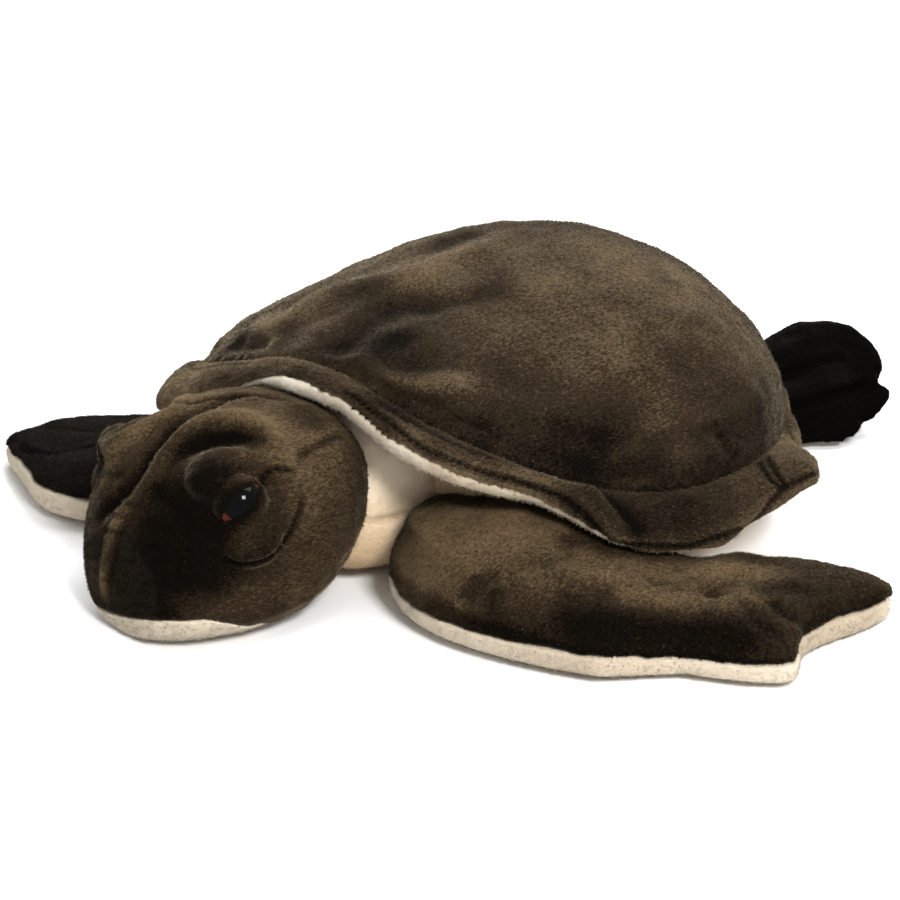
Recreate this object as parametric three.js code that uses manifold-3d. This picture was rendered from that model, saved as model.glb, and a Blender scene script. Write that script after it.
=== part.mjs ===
// A stuffed sea turtle: a sewn soft toy that lies flat on its belly with all four flippers spread.
// Millimetres. The toy faces -Y, its own left is +X, up is +Z, and the floor is z = 0.
import * as THREE from "three";
import { mergeVertices } from "three/addons/utils/BufferGeometryUtils.js";
import Module from "manifold-3d";

// ---- Driving dimensions -----------------------------------------------------------------------

const GAP = 0.3; // left between two pieces that touch
const SHELL_CENTRE_Y = 20; // the shell's outline is measured round this point
const SHELL_TOP = 131; // height of the stuffed shell above the floor
const CREST_BACKSET = 24; // how far behind the centre the shell is highest
const RIM_HALF_THICKNESS = 5.2; // of the padded rim that is sewn round the shell
const EYE_RADIUS = 10.5; // of the plastic eye's ball, a little over half of it sunk in the head
const EYE_PLACE = [42.5, -180.5, 63.5]; // centre of the left ball
const SHELL_STEPS = 60; // points round the shell

// The shell seen from above, from front to back on the left side:
// [bearing from straight ahead in degrees, distance of the seam between shell and rim, its height,
//  how far the shell swells out over the seam, how steeply it rises (1 is a dome, 2 a slope),
//  distance of the rim's edge, its height, and where the cream lining ends on that edge, from
//  -90 (hidden underneath) to 90 (wrapped over the top)]
const SHELL_OUTLINE = [
  [0, 124, 94, 0, 1.9, 143, 88, 50],
  [12, 124, 91, 0, 1.9, 139, 84, 50],
  [25, 131, 84, 1, 1.9, 150, 73, 50],
  [38, 139, 75, 2, 1.9, 158, 63, 45],
  [50, 140, 64, 3, 1.8, 150, 52, 30],
  [62, 139, 54, 5, 1.6, 160, 35, 0],
  [75, 140, 49, 7, 1.55, 166, 30, -40],
  [90, 139, 48, 8, 1.6, 161, 35, -50],
  [104, 136, 46, 9, 1.7, 165, 40, -50],
  [115, 133, 43, 10, 1.75, 147, 36, -50],
  [135, 132, 39, 9, 1.75, 141, 35, -50],
  [158, 139, 41, 6, 1.72, 153, 39, -50],
  [180, 147, 42, 4, 1.72, 176, 39, -50],
];
// The right shoulder of the shell sags further out over its flipper.
const RIGHT_SHOULDER = [
  [-50, 147, 66, 3, 1.9, 166, 43, -40],
  [-38, 147, 74, 2, 2, 172, 51, -40],
  [-25, 135, 84, 1, 2, 156, 63, -30],
  [-12, 127, 91, 0, 1.9, 143, 82, -5],
];

// The head from snout to nape: [y, half width, top, bottom, how square its lower half is]
const HEAD_STATIONS = [
  [-213, 27, 46, 1, 2.25],
  [-205, 39, 61, 0, 2.9],
  [-191, 48, 76, 0, 3.7],
  [-173, 55, 85, 0, 3.9],
  [-152, 57, 90, 1, 3.8],
  [-132, 54, 89, 8, 3.4],
  [-114, 45, 84, 19, 3],
  [-100, 33, 70, 24, 2.5],
  [-92, 18, 58, 34, 2.3],
];
const SNOUT_TIP = [0, -216, 23];
const NAPE_END = [0, -89, 46];

// The neck: [y, half width, top, bottom]
const NECK_STATIONS = [
  [-126, 30, 62, 14],
  [-112, 42, 72, 5],
  [-96, 47, 77, 2],
  [-80, 50, 78, 1],
  [-64, 52, 74, 4],
];

// A flipper from root to tip: [front edge x, y, back edge x, y, seam height in front, seam height
// behind, height of the top, how flat its underside is pressed]
const LEFT_FRONT_FLIPPER = [
  [50, -102, 76, -44, 22, 20, 44, 3],
  [58, -115, 92, -36, 18, 18, 48, 3],
  [76, -124, 108, -32, 13, 17, 50, 4],
  [98, -128, 124, -26, 13, 16, 46, 5],
  [122, -126, 136, -20, 13, 15, 39, 5],
  [149, -118, 145, -12, 13, 15, 32, 6],
  [176, -106, 152, -4, 14, 15, 29, 6],
  [191, -83, 157, 2, 11, 17, 28, 6],
  [211, -72, 161, 7, 11, 17, 28, 6],
  [227, -61, 166, 12, 12, 16, 27, 6],
  [230, -51, 171, 18, 12, 16, 26, 6],
  [220, -37, 176, 23, 13, 15, 25, 6],
  [218, -20, 184, 28, 13, 14, 24, 6],
  [221, 0, 195, 33, 12, 13, 22, 6],
  [222, 16, 207, 36, 12, 11, 18, 5],
  [220, 28, 215, 35, 11, 10, 14, 4],
];
const RIGHT_FRONT_FLIPPER = [
  [-46, -98, -76, -44, 22, 20, 46, 3],
  [-58, -120, -92, -40, 17, 18, 48, 3],
  [-72, -140, -108, -40, 14, 17, 45, 4],
  [-92, -155, -126, -42, 14, 16, 39, 5],
  [-115, -165, -146, -47, 17, 15, 33, 8],
  [-134, -167, -162, -52, 17, 14, 28, 9],
  [-151, -162, -177, -58, 17, 13, 25, 9],
  [-168, -156, -190, -64, 17, 12, 23, 9],
  [-184, -150, -201, -71, 15, 12, 21, 9],
  [-198, -145, -209, -80, 13, 12, 19, 9],
  [-210, -138, -213, -92, 12, 12, 17, 8],
  [-215, -128, -214, -104, 12, 12, 14, 5],
];
// The hind flippers lean: their inner edge is held up by the body. The last number is how far
// the underside hangs below the seam.
const LEFT_HIND_FLIPPER = [
  [46, 124, 12, 148, 7, 12, 24, 3, 22],
  [56, 142, 9, 168, 6, 20, 28, 3, 22],
  [66, 159, 12, 188, 4, 33, 35, 3, 22],
  [77, 176, 21, 209, 3, 46, 40, 3, 22],
  [87, 193, 34, 228, 4, 52, 42, 3, 22],
  [84, 206, 49, 238, 8, 50, 40, 3, 20],
  [87, 214, 64, 242, 14, 42, 36, 3, 12],
  [88, 222, 70, 240, 18, 36, 31, 3, 5],
  [86, 228, 75, 236, 21, 31, 28, 3, 2],
];
// A notch parts the tip of each hind flipper in two lobes.
const LEFT_HIND_NOTCH = [78.5, 231, 26];
const NOTCH_RADII = [4.2, 8, 5];
const NOTCH_TURN = Math.PI / 4; // turns the notch along the edge

const TAIL_STATIONS = [
  [140, 20, 30, 4],
  [165, 17, 27, 2],
  [190, 12, 22, 0],
  [210, 6, 14, 2],
];
const TAIL_TIP = [0, 218, 8];

// ---- Shared helpers ---------------------------------------------------------------------------

const wasm = await Module();
wasm.setup();

// A smooth curve through rows of numbers, as a function of each row's first number.
function through(rows) {
  const slope = (i, k) => {
    const before = rows[Math.max(i - 1, 0)];
    const after = rows[Math.min(i + 1, rows.length - 1)];
    return (after[k] - before[k]) / (after[0] - before[0]);
  };
  return (t) => {
    let i = 0;
    while (i < rows.length - 2 && t > rows[i + 1][0]) i++;
    const [from, to] = [rows[i], rows[i + 1]];
    const span = to[0] - from[0];
    const u = (t - from[0]) / span;
    const rise = u * u * (3 - 2 * u);
    const leave = u * (1 - u) * (1 - u) * span;
    const arrive = u * u * (1 - u) * span;
    return from.map((value, k) =>
      k === 0 ? t : value + (to[k] - value) * rise + slope(i, k) * leave - slope(i + 1, k) * arrive,
    );
  };
}

// The same rows read at evenly spaced places between the first and the last.
function resampled(rows, count) {
  const numbered = rows.map((row, i) => [i, ...row]);
  const curve = through(numbered);
  const last = rows.length - 1;
  return Array.from({ length: count }, (_, i) => curve((i * last) / (count - 1)).slice(1));
}

// A closed surface over rings of points; a ring of one point is a pole.
function loft(rings) {
  const positions = [];
  const faces = [];
  const starts = [];
  for (const ring of rings) {
    starts.push(positions.length / 3);
    ring.forEach((point) => positions.push(...point));
  }
  const corner = (k, i) => starts[k] + (i % rings[k].length);
  for (let k = 0; k < rings.length - 1; k++) {
    const [here, next] = [rings[k].length, rings[k + 1].length];
    for (let i = 0; i < Math.max(here, next); i++) {
      if (here > 1) faces.push(corner(k, i), corner(k, i + 1), corner(k + 1, i));
      if (next > 1) faces.push(corner(k + 1, i), corner(k, i + 1), corner(k + 1, i + 1));
    }
  }
  const geometry = new THREE.BufferGeometry();
  geometry.setAttribute("position", new THREE.Float32BufferAttribute(positions, 3));
  geometry.setIndex(faces);
  return facingOut(mergeVertices(geometry, 1e-4));
}

function facingOut(geometry) {
  const place = geometry.attributes.position;
  const index = geometry.index.array;
  const [a, b, c] = [new THREE.Vector3(), new THREE.Vector3(), new THREE.Vector3()];
  let volume = 0;
  for (let i = 0; i < index.length; i += 3) {
    a.fromBufferAttribute(place, index[i]);
    b.fromBufferAttribute(place, index[i + 1]);
    c.fromBufferAttribute(place, index[i + 2]);
    volume += a.dot(b.cross(c));
  }
  if (volume < 0) {
    for (let i = 0; i < index.length; i += 3) {
      [index[i + 1], index[i + 2]] = [index[i + 2], index[i + 1]];
    }
  }
  return geometry;
}

function solidOf(geometry) {
  return new wasm.Manifold(
    new wasm.Mesh({
      numProp: 3,
      vertProperties: new Float32Array(geometry.attributes.position.array),
      triVerts: new Uint32Array(geometry.index.array),
    }),
  );
}

// The same form with its whole surface moved out, to cut a neighbour clear of it.
function swollen(geometry, by) {
  const copy = geometry.clone();
  copy.computeVertexNormals();
  const [place, normal] = [copy.attributes.position, copy.attributes.normal];
  for (let i = 0; i < place.count; i++) {
    place.setXYZ(
      i,
      place.getX(i) + by * normal.getX(i),
      place.getY(i) + by * normal.getY(i),
      place.getZ(i) + by * normal.getZ(i),
    );
  }
  copy.deleteAttribute("normal");
  return solidOf(copy);
}

// What is left of a solid once its neighbours' room is taken away: the largest piece.
function clearOf(solid, neighbours) {
  const left = neighbours.reduce((rest, neighbour) => rest.subtract(neighbour), solid);
  return left.decompose().sort((a, b) => b.volume() - a.volume())[0];
}

function geometryOf(solid) {
  const { vertProperties, triVerts } = solid.getMesh();
  const geometry = new THREE.BufferGeometry();
  geometry.setAttribute("position", new THREE.BufferAttribute(vertProperties, 3));
  geometry.setIndex(new THREE.BufferAttribute(triVerts, 1));
  geometry.computeVertexNormals();
  return geometry;
}

// A rounded slice across the body at y: a superellipse between a bottom and a top height.
const SLICE_POINTS = 24;
const UPPER_SQUARENESS = 2.3;
const LOWER_SQUARENESS = 3.7; // stuffing presses the lower half flat on the floor
function slice([y, halfWidth, top, bottom, lowerSquareness = LOWER_SQUARENESS]) {
  const middle = (top + bottom) / 2;
  const half = (top - bottom) / 2;
  return Array.from({ length: SLICE_POINTS }, (_, i) => {
    const angle = (2 * Math.PI * i) / SLICE_POINTS;
    const squareness = Math.sin(angle) < 0 ? lowerSquareness : UPPER_SQUARENESS;
    const power = (v) => Math.sign(v) * Math.abs(v) ** (2 / squareness);
    return [halfWidth * power(Math.cos(angle)), y, middle + half * power(Math.sin(angle))];
  });
}

// ---- Shell, rim and belly ---------------------------------------------------------------------

const rightOutline = SHELL_OUTLINE.slice(1, -1)
  .map(([bearing, ...rest]) => [-bearing, ...rest])
  .map((row) => RIGHT_SHOULDER.find(([bearing]) => bearing === row[0]) ?? row);
const wholeOutline = [...rightOutline.reverse(), ...SHELL_OUTLINE];
const turned = (rows, by) => rows.map(([bearing, ...rest]) => [bearing + by, ...rest]);
const shellAt = through([
  ...turned(wholeOutline.slice(-2), -360),
  ...wholeOutline,
  ...turned(wholeOutline.slice(0, 2), 360),
]);
const BEARINGS = Array.from({ length: SHELL_STEPS }, (_, i) => -180 + (360 * i) / SHELL_STEPS);

// The point at a distance from the shell's centre line, on a bearing.
function polar(bearing, distance, z, centreY = SHELL_CENTRE_Y) {
  const angle = THREE.MathUtils.degToRad(bearing);
  return [distance * Math.sin(angle), centreY - distance * Math.cos(angle), z];
}

// Shell and belly are parted by one shallow dish, which dips to this height in the middle.
const PARTING_MIDDLE = 52;
const PARTING_FRACTIONS = [0.35, 0.7];
const BELLY_INSET = 6;
const NECK_TUCK = 24;
const partingHeight = (seamHeight, fraction) =>
  PARTING_MIDDLE + (seamHeight - PARTING_MIDDLE) * fraction * fraction;

function dome() {
  const latitudes = [8, 18, 28, 38, 48, 58, 68, 78];
  const underside = PARTING_FRACTIONS.map((fraction) =>
    BEARINGS.map((bearing) => {
      const [, seam, height] = shellAt(bearing);
      return polar(bearing, fraction * seam, partingHeight(height, fraction) + GAP);
    }),
  );
  const sides = [0, ...latitudes].map((latitude) => {
    const angle = THREE.MathUtils.degToRad(latitude);
    return BEARINGS.map((bearing) => {
      const [, seam, height, swell, steepness] = shellAt(bearing);
      const slope = 1 + (steepness - 1) * Math.cos(angle);
      const distance = seam * Math.cos(angle) ** slope + swell * Math.sin(2 * angle);
      const z = height + (SHELL_TOP - height) * Math.sin(angle);
      return polar(bearing, distance, z, SHELL_CENTRE_Y + CREST_BACKSET * Math.sin(angle));
    });
  });
  return loft([
    [[0, SHELL_CENTRE_Y, PARTING_MIDDLE + GAP]],
    ...underside,
    ...sides,
    [[0, SHELL_CENTRE_Y + CREST_BACKSET, SHELL_TOP]],
  ]);
}

function bellyForm() {
  // The belly is a little smaller than the shell, and in front it draws in behind the neck.
  const inset = (bearing) =>
    BELLY_INSET + NECK_TUCK * Math.max(0, Math.cos(THREE.MathUtils.degToRad(bearing))) ** 4;
  const top = PARTING_FRACTIONS.map((fraction) =>
    BEARINGS.map((bearing) => {
      const [, seam, height] = shellAt(bearing);
      return polar(bearing, fraction * seam, partingHeight(height, fraction) - GAP);
    }),
  );
  // [share of the seam's distance, share of its height]
  const wall = [
    [1, 0.94],
    [1, 0.62],
    [0.97, 0.32],
    [0.9, 0.1],
    [0.8, 0],
    [0.4, 0],
  ].map(([out, up]) =>
    BEARINGS.map((bearing) => {
      const [, seam, height] = shellAt(bearing);
      return polar(bearing, out * (seam - inset(bearing)), up * (height - 2));
    }),
  );
  return loft([
    [[0, SHELL_CENTRE_Y, PARTING_MIDDLE - GAP]],
    ...top,
    ...wall,
    [[0, SHELL_CENTRE_Y, 0]],
  ]);
}

// One layer of the rim: the dark top cloth, or the cream lining under it. Both end at a seam on
// the rounded outer edge.
function rimLayer(isLining) {
  const shares = [0, 0.2, 0.45, 0.7]; // from the shell's seam outwards
  const roundFrom = 0.78; // where the rounded edge starts
  const bow = 2.5; // the rim arches a little between seam and edge
  const pinch = 0.45; // share of the thickness that is left at the shell's seam
  const arcPoints = isLining ? 4 : 3;
  const side = isLining ? -1 : 1;
  const rings = BEARINGS.map((bearing) => {
    const [, seam, seamHeight, , , edge, edgeHeight, wrap] = shellAt(bearing);
    const start = [seam, seamHeight - 2];
    const across = new THREE.Vector2(edge - start[0], edgeHeight - start[1]);
    const up = new THREE.Vector2(-across.y, across.x).normalize();
    const at = (share, offset) => {
      const lift = offset + bow * 4 * share * (1 - share);
      const z = start[1] + across.y * share + up.y * lift;
      return polar(bearing, start[0] + across.x * share + up.x * lift, z);
    };
    const half = (share) => RIM_HALF_THICKNESS * Math.min(1, pinch + share * 2);
    const onEdge = (degrees) => {
      const angle = THREE.MathUtils.degToRad(degrees);
      return [roundFrom + (1 - roundFrom) * Math.cos(angle), RIM_HALF_THICKNESS * Math.sin(angle)];
    };
    const [seamShare, seamOffset] = onEdge(wrap);
    const outer = shares.map((share) => at(share, side * half(share)));
    const arc = Array.from({ length: arcPoints }, (_, i) =>
      onEdge(side * 90 + ((wrap - side * 90) * i) / arcPoints),
    ).map(([share, offset]) => at(share, offset));
    const inner = [...shares, seamShare].map((share) =>
      at(share, (seamOffset * share) / seamShare + (side * GAP) / 2),
    );
    return [...outer, ...arc, ...inner.reverse()];
  });
  return loft([...rings, rings[0]]);
}

// ---- Head, chin, eyes and neck ----------------------------------------------------------------

function headForm() {
  return loft([[SNOUT_TIP], ...resampled(HEAD_STATIONS, 13).map(slice), [NAPE_END]]);
}

const mirrored = ([x, y, z]) => [-x, y, z];

function ball([x, y, z], radius, segments) {
  const sphere = new THREE.SphereGeometry(radius, segments, Math.round(segments * 0.6));
  sphere.deleteAttribute("normal");
  sphere.deleteAttribute("uv");
  sphere.translate(x, y, z);
  return facingOut(mergeVertices(sphere, 1e-4));
}

// A rounded pad, or the room of a notch: a ball drawn out along each axis.
function pad(centre, [rx, ry, rz], tilt = 0) {
  const shape = ball([0, 0, 0], 1, 16);
  shape.scale(rx, ry, rz);
  shape.rotateZ(tilt);
  shape.translate(...centre);
  return solidOf(facingOut(shape));
}

// The chin is the cream panel under the snout: this block reaches up to its seam.
const CHIN_FLOOR = -4; // the block starts below the head
const CHIN_DIP_X = -12; // the seam dips here: the mouth is sewn a little crooked
function chinBlock(grow) {
  // [y, half width, height on the left, height at the dip, height on the right]
  const rows = [
    [-220, 44, 22, 7, 6],
    [-200, 46, 18, 7, 6],
    [-180, 48, 9, 7, 6],
    [-162, 40, 8, 6, 6],
    [-130, 28, 8, 8, 8],
    [-112, 18, 14, 14, 14],
  ].map(([y, halfWidth, ...heights]) => [y, halfWidth + grow, ...heights.map((z) => z + grow)]);
  const ring = ([y, halfWidth, left, dip, right]) => [
    [-halfWidth, y, CHIN_FLOOR],
    [halfWidth, y, CHIN_FLOOR],
    [halfWidth, y, left],
    [CHIN_DIP_X, y, dip],
    [-halfWidth, y, right],
  ];
  const rings = rows.map(ring);
  const centre = (row) => [0, row[0], row[3] / 2];
  return solidOf(loft([[centre(rows[0])], ...rings, [centre(rows.at(-1))]]));
}

// ---- Flippers and tail ------------------------------------------------------------------------

const FLIPPER_SECTION = 7; // points across each face of a flipper
const FLIPPER_LEAN = 0.25; // a flipper is thickest towards its front edge
const FLIPPER_ROUNDNESS = 2.4;
const FLIPPER_DEPTH = 22; // how far an underside hangs below its seam where the row doesn't say

// One half of a flipper: the dark upper cloth or the cream one under it.
function flipperHalf(rows, isUnder, stations) {
  const shares = Array.from({ length: FLIPPER_SECTION }, (_, i) =>
    -Math.cos((Math.PI * (i + 0.5)) / FLIPPER_SECTION),
  );
  const shift = isUnder ? -GAP / 2 : GAP / 2;
  const rings = resampled(rows, stations).map((row) => {
    const [frontX, frontY, backX, backY, frontSeam, backSeam, top, press] = row;
    const hang = row[8] ?? FLIPPER_DEPTH;
    const at = (share, z) => {
      const t = (share + 1) / 2;
      return [frontX + (backX - frontX) * t, frontY + (backY - frontY) * t, z];
    };
    const seam = (share) => frontSeam + ((backSeam - frontSeam) * (share + 1)) / 2;
    const crown = top - (frontSeam + backSeam) / 2;
    const lowest = Math.max(0, (frontSeam + backSeam) / 2 - hang);
    const upperFace = (share) => {
      const leaning = share + FLIPPER_LEAN * (1 - share * share);
      return seam(share) + crown * Math.sqrt(1 - Math.abs(leaning) ** FLIPPER_ROUNDNESS);
    };
    const underFace = (share) => {
      const pressed = (1 - Math.abs(share) ** (2 * press)) ** 0.3;
      return Math.max(0, seam(share) - (seam(share) - lowest) * pressed);
    };
    const face = isUnder ? underFace : upperFace;
    const outer = shares.map((share) => at(share, face(share)));
    const inner = [1, ...shares.toReversed(), -1].map((share) => at(share, seam(share) + shift));
    return [...outer, ...inner];
  });
  return loft([[middleOf(rings[0])], ...rings, [middleOf(rings.at(-1))]]);
}

function middleOf(ring) {
  return [0, 1, 2].map((k) => ring.reduce((sum, point) => sum + point[k], 0) / ring.length);
}

function tailForm() {
  const rings = resampled(TAIL_STATIONS, 6).map(slice);
  return loft([[[0, TAIL_STATIONS[0][0] - 1, 17]], ...rings, [TAIL_TIP]]);
}

// ---- Assembly ---------------------------------------------------------------------------------

const DARK = 0x3d362c;
const CREAM = 0xe6d3b3;
const plush = (color) => new THREE.MeshStandardMaterial({ color, roughness: 0.95, metalness: 0 });
const glossy = (color) => new THREE.MeshStandardMaterial({ color, roughness: 0.08, metalness: 0 });

const turtle = new THREE.Group();
turtle.name = "stuffed_sea_turtle";

function add(name, solid, material) {
  const mesh = new THREE.Mesh(geometryOf(solid), material);
  mesh.name = name;
  turtle.add(mesh);
}

const shell = dome();
const belly = bellyForm();
const head = headForm();
const neck = loft([
  [[0, NECK_STATIONS[0][0] - 2, 38]],
  ...resampled(NECK_STATIONS, 8).map(slice),
  [[0, NECK_STATIONS.at(-1)[0] + 2, 38]],
]);
const tail = tailForm();
const mirrorRow = ([ax, ay, bx, by, ...rest]) => [-ax, ay, -bx, by, ...rest];
const FLIPPERS = {
  flipper_front_left: { rows: LEFT_FRONT_FLIPPER, stations: 24 },
  flipper_front_right: { rows: RIGHT_FRONT_FLIPPER, stations: 15 },
  flipper_rear_left: { rows: LEFT_HIND_FLIPPER, stations: 12 },
  flipper_rear_right: { rows: LEFT_HIND_FLIPPER.map(mirrorRow), stations: 12 },
};

const shellRoom = swollen(shell, GAP);
const bellyRoom = swollen(belly, GAP);
const headRoom = swollen(head, GAP);
const bodyRoom = [shellRoom, bellyRoom];
const flipperHalves = Object.entries(FLIPPERS).flatMap(([name, { rows, stations }]) => [
  { name, form: flipperHalf(rows, false, stations), color: DARK },
  { name: name + "_under", form: flipperHalf(rows, true, stations), color: CREAM },
]);
const flipperRoom = flipperHalves.map(({ form }) => swollen(form, GAP));
const notches = [
  pad(LEFT_HIND_NOTCH, NOTCH_RADII, NOTCH_TURN),
  pad(mirrored(LEFT_HIND_NOTCH), NOTCH_RADII, -NOTCH_TURN),
];

add("shell_dome", solidOf(shell), plush(DARK));
add("belly", clearOf(solidOf(belly), [shellRoom]), plush(CREAM));
for (const { name, form, color } of flipperHalves) {
  add(name, clearOf(solidOf(form), [...bodyRoom, ...notches]), plush(color));
}
add("tail", clearOf(solidOf(tail), [...bodyRoom, ...flipperRoom]), plush(DARK));

const eyeBalls = [EYE_PLACE, mirrored(EYE_PLACE)];
const sockets = eyeBalls.map((place) => solidOf(ball(place, EYE_RADIUS + GAP, 16)));
const browAndLids = [1, -1].flatMap((side) => [
  pad([side * 23, -169, 71], [18, 31, 12], side * 0.5),
  pad([side * 37, -172, 49], [18, 25, 18], side * 0.8),
]);
const wholeHead = browAndLids.reduce((sum, form) => sum.add(form), solidOf(head));
add("head", clearOf(wholeHead, [...sockets, chinBlock(GAP)]), plush(DARK));
add("chin", clearOf(wholeHead.intersect(chinBlock(0)), sockets), plush(CREAM));
["eye_left", "eye_right"].forEach((name, i) =>
  add(name, solidOf(ball(eyeBalls[i], EYE_RADIUS, 16)), glossy(0x140c08)),
);

const neckRoom = swollen(neck, GAP);
add("neck", clearOf(solidOf(neck), [headRoom, ...bodyRoom, ...flipperRoom]), plush(CREAM));

const sharpEdgeRoom = swollen(shell, 2 * GAP); // the rim starts right at the shell's sharp edge
const underRim = [sharpEdgeRoom, bellyRoom, headRoom, neckRoom, swollen(tail, GAP), ...flipperRoom];
add("shell_rim", clearOf(solidOf(rimLayer(false)), underRim), plush(DARK));
add("shell_rim_lining", clearOf(solidOf(rimLayer(true)), underRim), plush(CREAM));

export default turtle;
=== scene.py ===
# %% [markdown]
# # A stuffed sea turtle
# This lesson dresses the solids of a sewn soft toy in plush. The toy is about 45 cm long and lies
# on its belly. Plush is a cloth with a short, thick pile: dark brown above, cream underneath.
# The plan is the same for each sewn part: copy the solid, give it small even faces, push folds,
# seams and stitches into it with a few sculpting strokes, and then plant the pile on it.

# %% Load the solids
import math
import bmesh
import bpy
import numpy as np
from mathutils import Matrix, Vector
from mathutils.bvhtree import BVHTree
from mathutils.kdtree import KDTree


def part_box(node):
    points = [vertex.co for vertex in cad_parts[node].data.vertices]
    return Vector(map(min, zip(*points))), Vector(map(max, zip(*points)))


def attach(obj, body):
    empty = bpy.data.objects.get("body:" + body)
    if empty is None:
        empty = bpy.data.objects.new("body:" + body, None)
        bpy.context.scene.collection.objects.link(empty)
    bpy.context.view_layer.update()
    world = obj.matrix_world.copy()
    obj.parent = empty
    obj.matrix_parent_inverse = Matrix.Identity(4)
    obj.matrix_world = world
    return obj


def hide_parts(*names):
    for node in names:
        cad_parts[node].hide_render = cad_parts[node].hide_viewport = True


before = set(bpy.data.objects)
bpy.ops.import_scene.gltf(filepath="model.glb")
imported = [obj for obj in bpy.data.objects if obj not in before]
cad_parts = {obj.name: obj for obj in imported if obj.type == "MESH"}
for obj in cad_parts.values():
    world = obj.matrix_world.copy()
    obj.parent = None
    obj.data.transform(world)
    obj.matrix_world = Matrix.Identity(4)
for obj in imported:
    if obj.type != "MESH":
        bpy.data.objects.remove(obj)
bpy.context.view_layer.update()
MM = 0.001
print("solids:", sorted(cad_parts))

# %% [markdown]
# ## The camera
# The camera comes first, so that every render shows the same view. It looks down on the
# toy's left front from shoulder height of the table. A long lens from nearly a metre away keeps
# the head from looking too big. The small shift places the toy in the picture without turning
# the camera, which would change the perspective.

# %% Camera
PICTURE_SIDE = 900  # pixels
CAMERA_PLACE = (45, 19, 0.925)  # degrees round from the toy's front, degrees up, and metres
AIM = Vector((0, 0, 0.053))
AIM_PIXEL = (480, 400)  # where the aim point falls in the picture
FOCAL_PIXELS = 1900
SENSOR_MM = 36


def around(azimuth, elevation, distance):
    """A place so many degrees round from the toy's front and up from the table."""
    turn, rise = math.radians(azimuth), math.radians(elevation)
    flat = Vector((math.sin(turn), -math.cos(turn), 0)) * math.cos(rise)
    return AIM + (flat + Vector((0, 0, math.sin(rise)))) * distance


def set_up(name, data, place):
    """Puts a camera or a lamp at a place and turns it towards the toy."""
    thing = bpy.data.objects.new(name, data)
    thing.location = place
    thing.rotation_euler = (AIM - Vector(place)).to_track_quat("-Z", "Y").to_euler()
    bpy.context.collection.objects.link(thing)
    return thing


camera_data = bpy.data.cameras.new("camera")
camera_data.sensor_width = SENSOR_MM
camera_data.lens = FOCAL_PIXELS / PICTURE_SIDE * SENSOR_MM
camera_data.shift_x = 0.5 - AIM_PIXEL[0] / PICTURE_SIDE
camera_data.shift_y = AIM_PIXEL[1] / PICTURE_SIDE - 0.5
bpy.context.scene.camera = set_up("camera", camera_data, around(*CAMERA_PLACE))
print("lens:", round(camera_data.lens), "mm")

# %% [markdown]
# ## Even faces
# A solid has long thin faces, which can't hold a fold. Blender's voxel remesh covers the same
# form with small even squares. From there the shape is worked on as plain NumPy arrays in
# millimetres, which is fast and easy to read.

# %% Remesh
def remeshed(nodes, pitch):
    """The outer skin of one or more solids, in squares of the given pitch in millimetres."""
    joined = bmesh.new()
    for node in nodes:
        joined.from_mesh(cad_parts[node].data)
    bmesh.ops.remove_doubles(joined, verts=joined.verts, dist=0.01 * MM)
    mesh = bpy.data.meshes.new("blank")
    joined.to_mesh(mesh)
    joined.free()
    blank = bpy.data.objects.new("blank", mesh)
    bpy.context.collection.objects.link(blank)
    even = blank.modifiers.new("even_faces", "REMESH")
    even.mode = "VOXEL"
    even.voxel_size = pitch * MM
    skin = bpy.data.meshes.new_from_object(
        blank.evaluated_get(bpy.context.evaluated_depsgraph_get())
    )
    points = np.empty(len(skin.vertices) * 3)
    skin.vertices.foreach_get("co", points)
    corners = np.empty(len(skin.loops), np.int64)
    skin.loops.foreach_get("vertex_index", corners)
    bpy.data.objects.remove(blank)
    return points.reshape(-1, 3) / MM, corners.reshape(-1, 4)


def largest_part(points, faces):
    """The biggest connected piece of a mesh; a thin edge can leave crumbs beside it."""
    label = np.arange(len(points))
    while True:
        lower = label.copy()
        np.minimum.at(lower, faces.ravel(), np.repeat(label[faces].min(1), 4))
        lower = lower[lower]
        if np.array_equal(lower, label):
            break
        label = lower
    chosen = faces[label[faces[:, 0]] == np.bincount(label[faces[:, 0]]).argmax()]
    used, order = np.unique(chosen, return_inverse=True)
    return points[used], order.reshape(chosen.shape)


# %% [markdown]
# ## A sewn panel as arrays
# A panel keeps its points and faces, the shade of its pile, and where it is bare. Relaxing moves
# each point towards the middle of its neighbours. Every second step goes a little the other way,
# so the form gets smooth but doesn't shrink. Blunting does the same only at sharp edges.

# %% Panel
RELAX_IN, RELAX_OUT = 0.5, -0.52
BLUNT_FROM, BLUNT_FULL = 0.12, 0.35  # a point's step to its neighbours' middle, over the pitch


def unit(vectors):
    """Vectors of length one."""
    vectors = np.asarray(vectors, float)
    return vectors / np.maximum(np.linalg.norm(vectors, axis=-1, keepdims=True), 1e-9)


def ramp(low, high, values):
    """0 below low, 1 above high, and a smooth rise between them."""
    t = np.clip((np.asarray(values, float) - low) / (high - low), 0, 1)
    return t * t * (3 - 2 * t)


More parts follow.
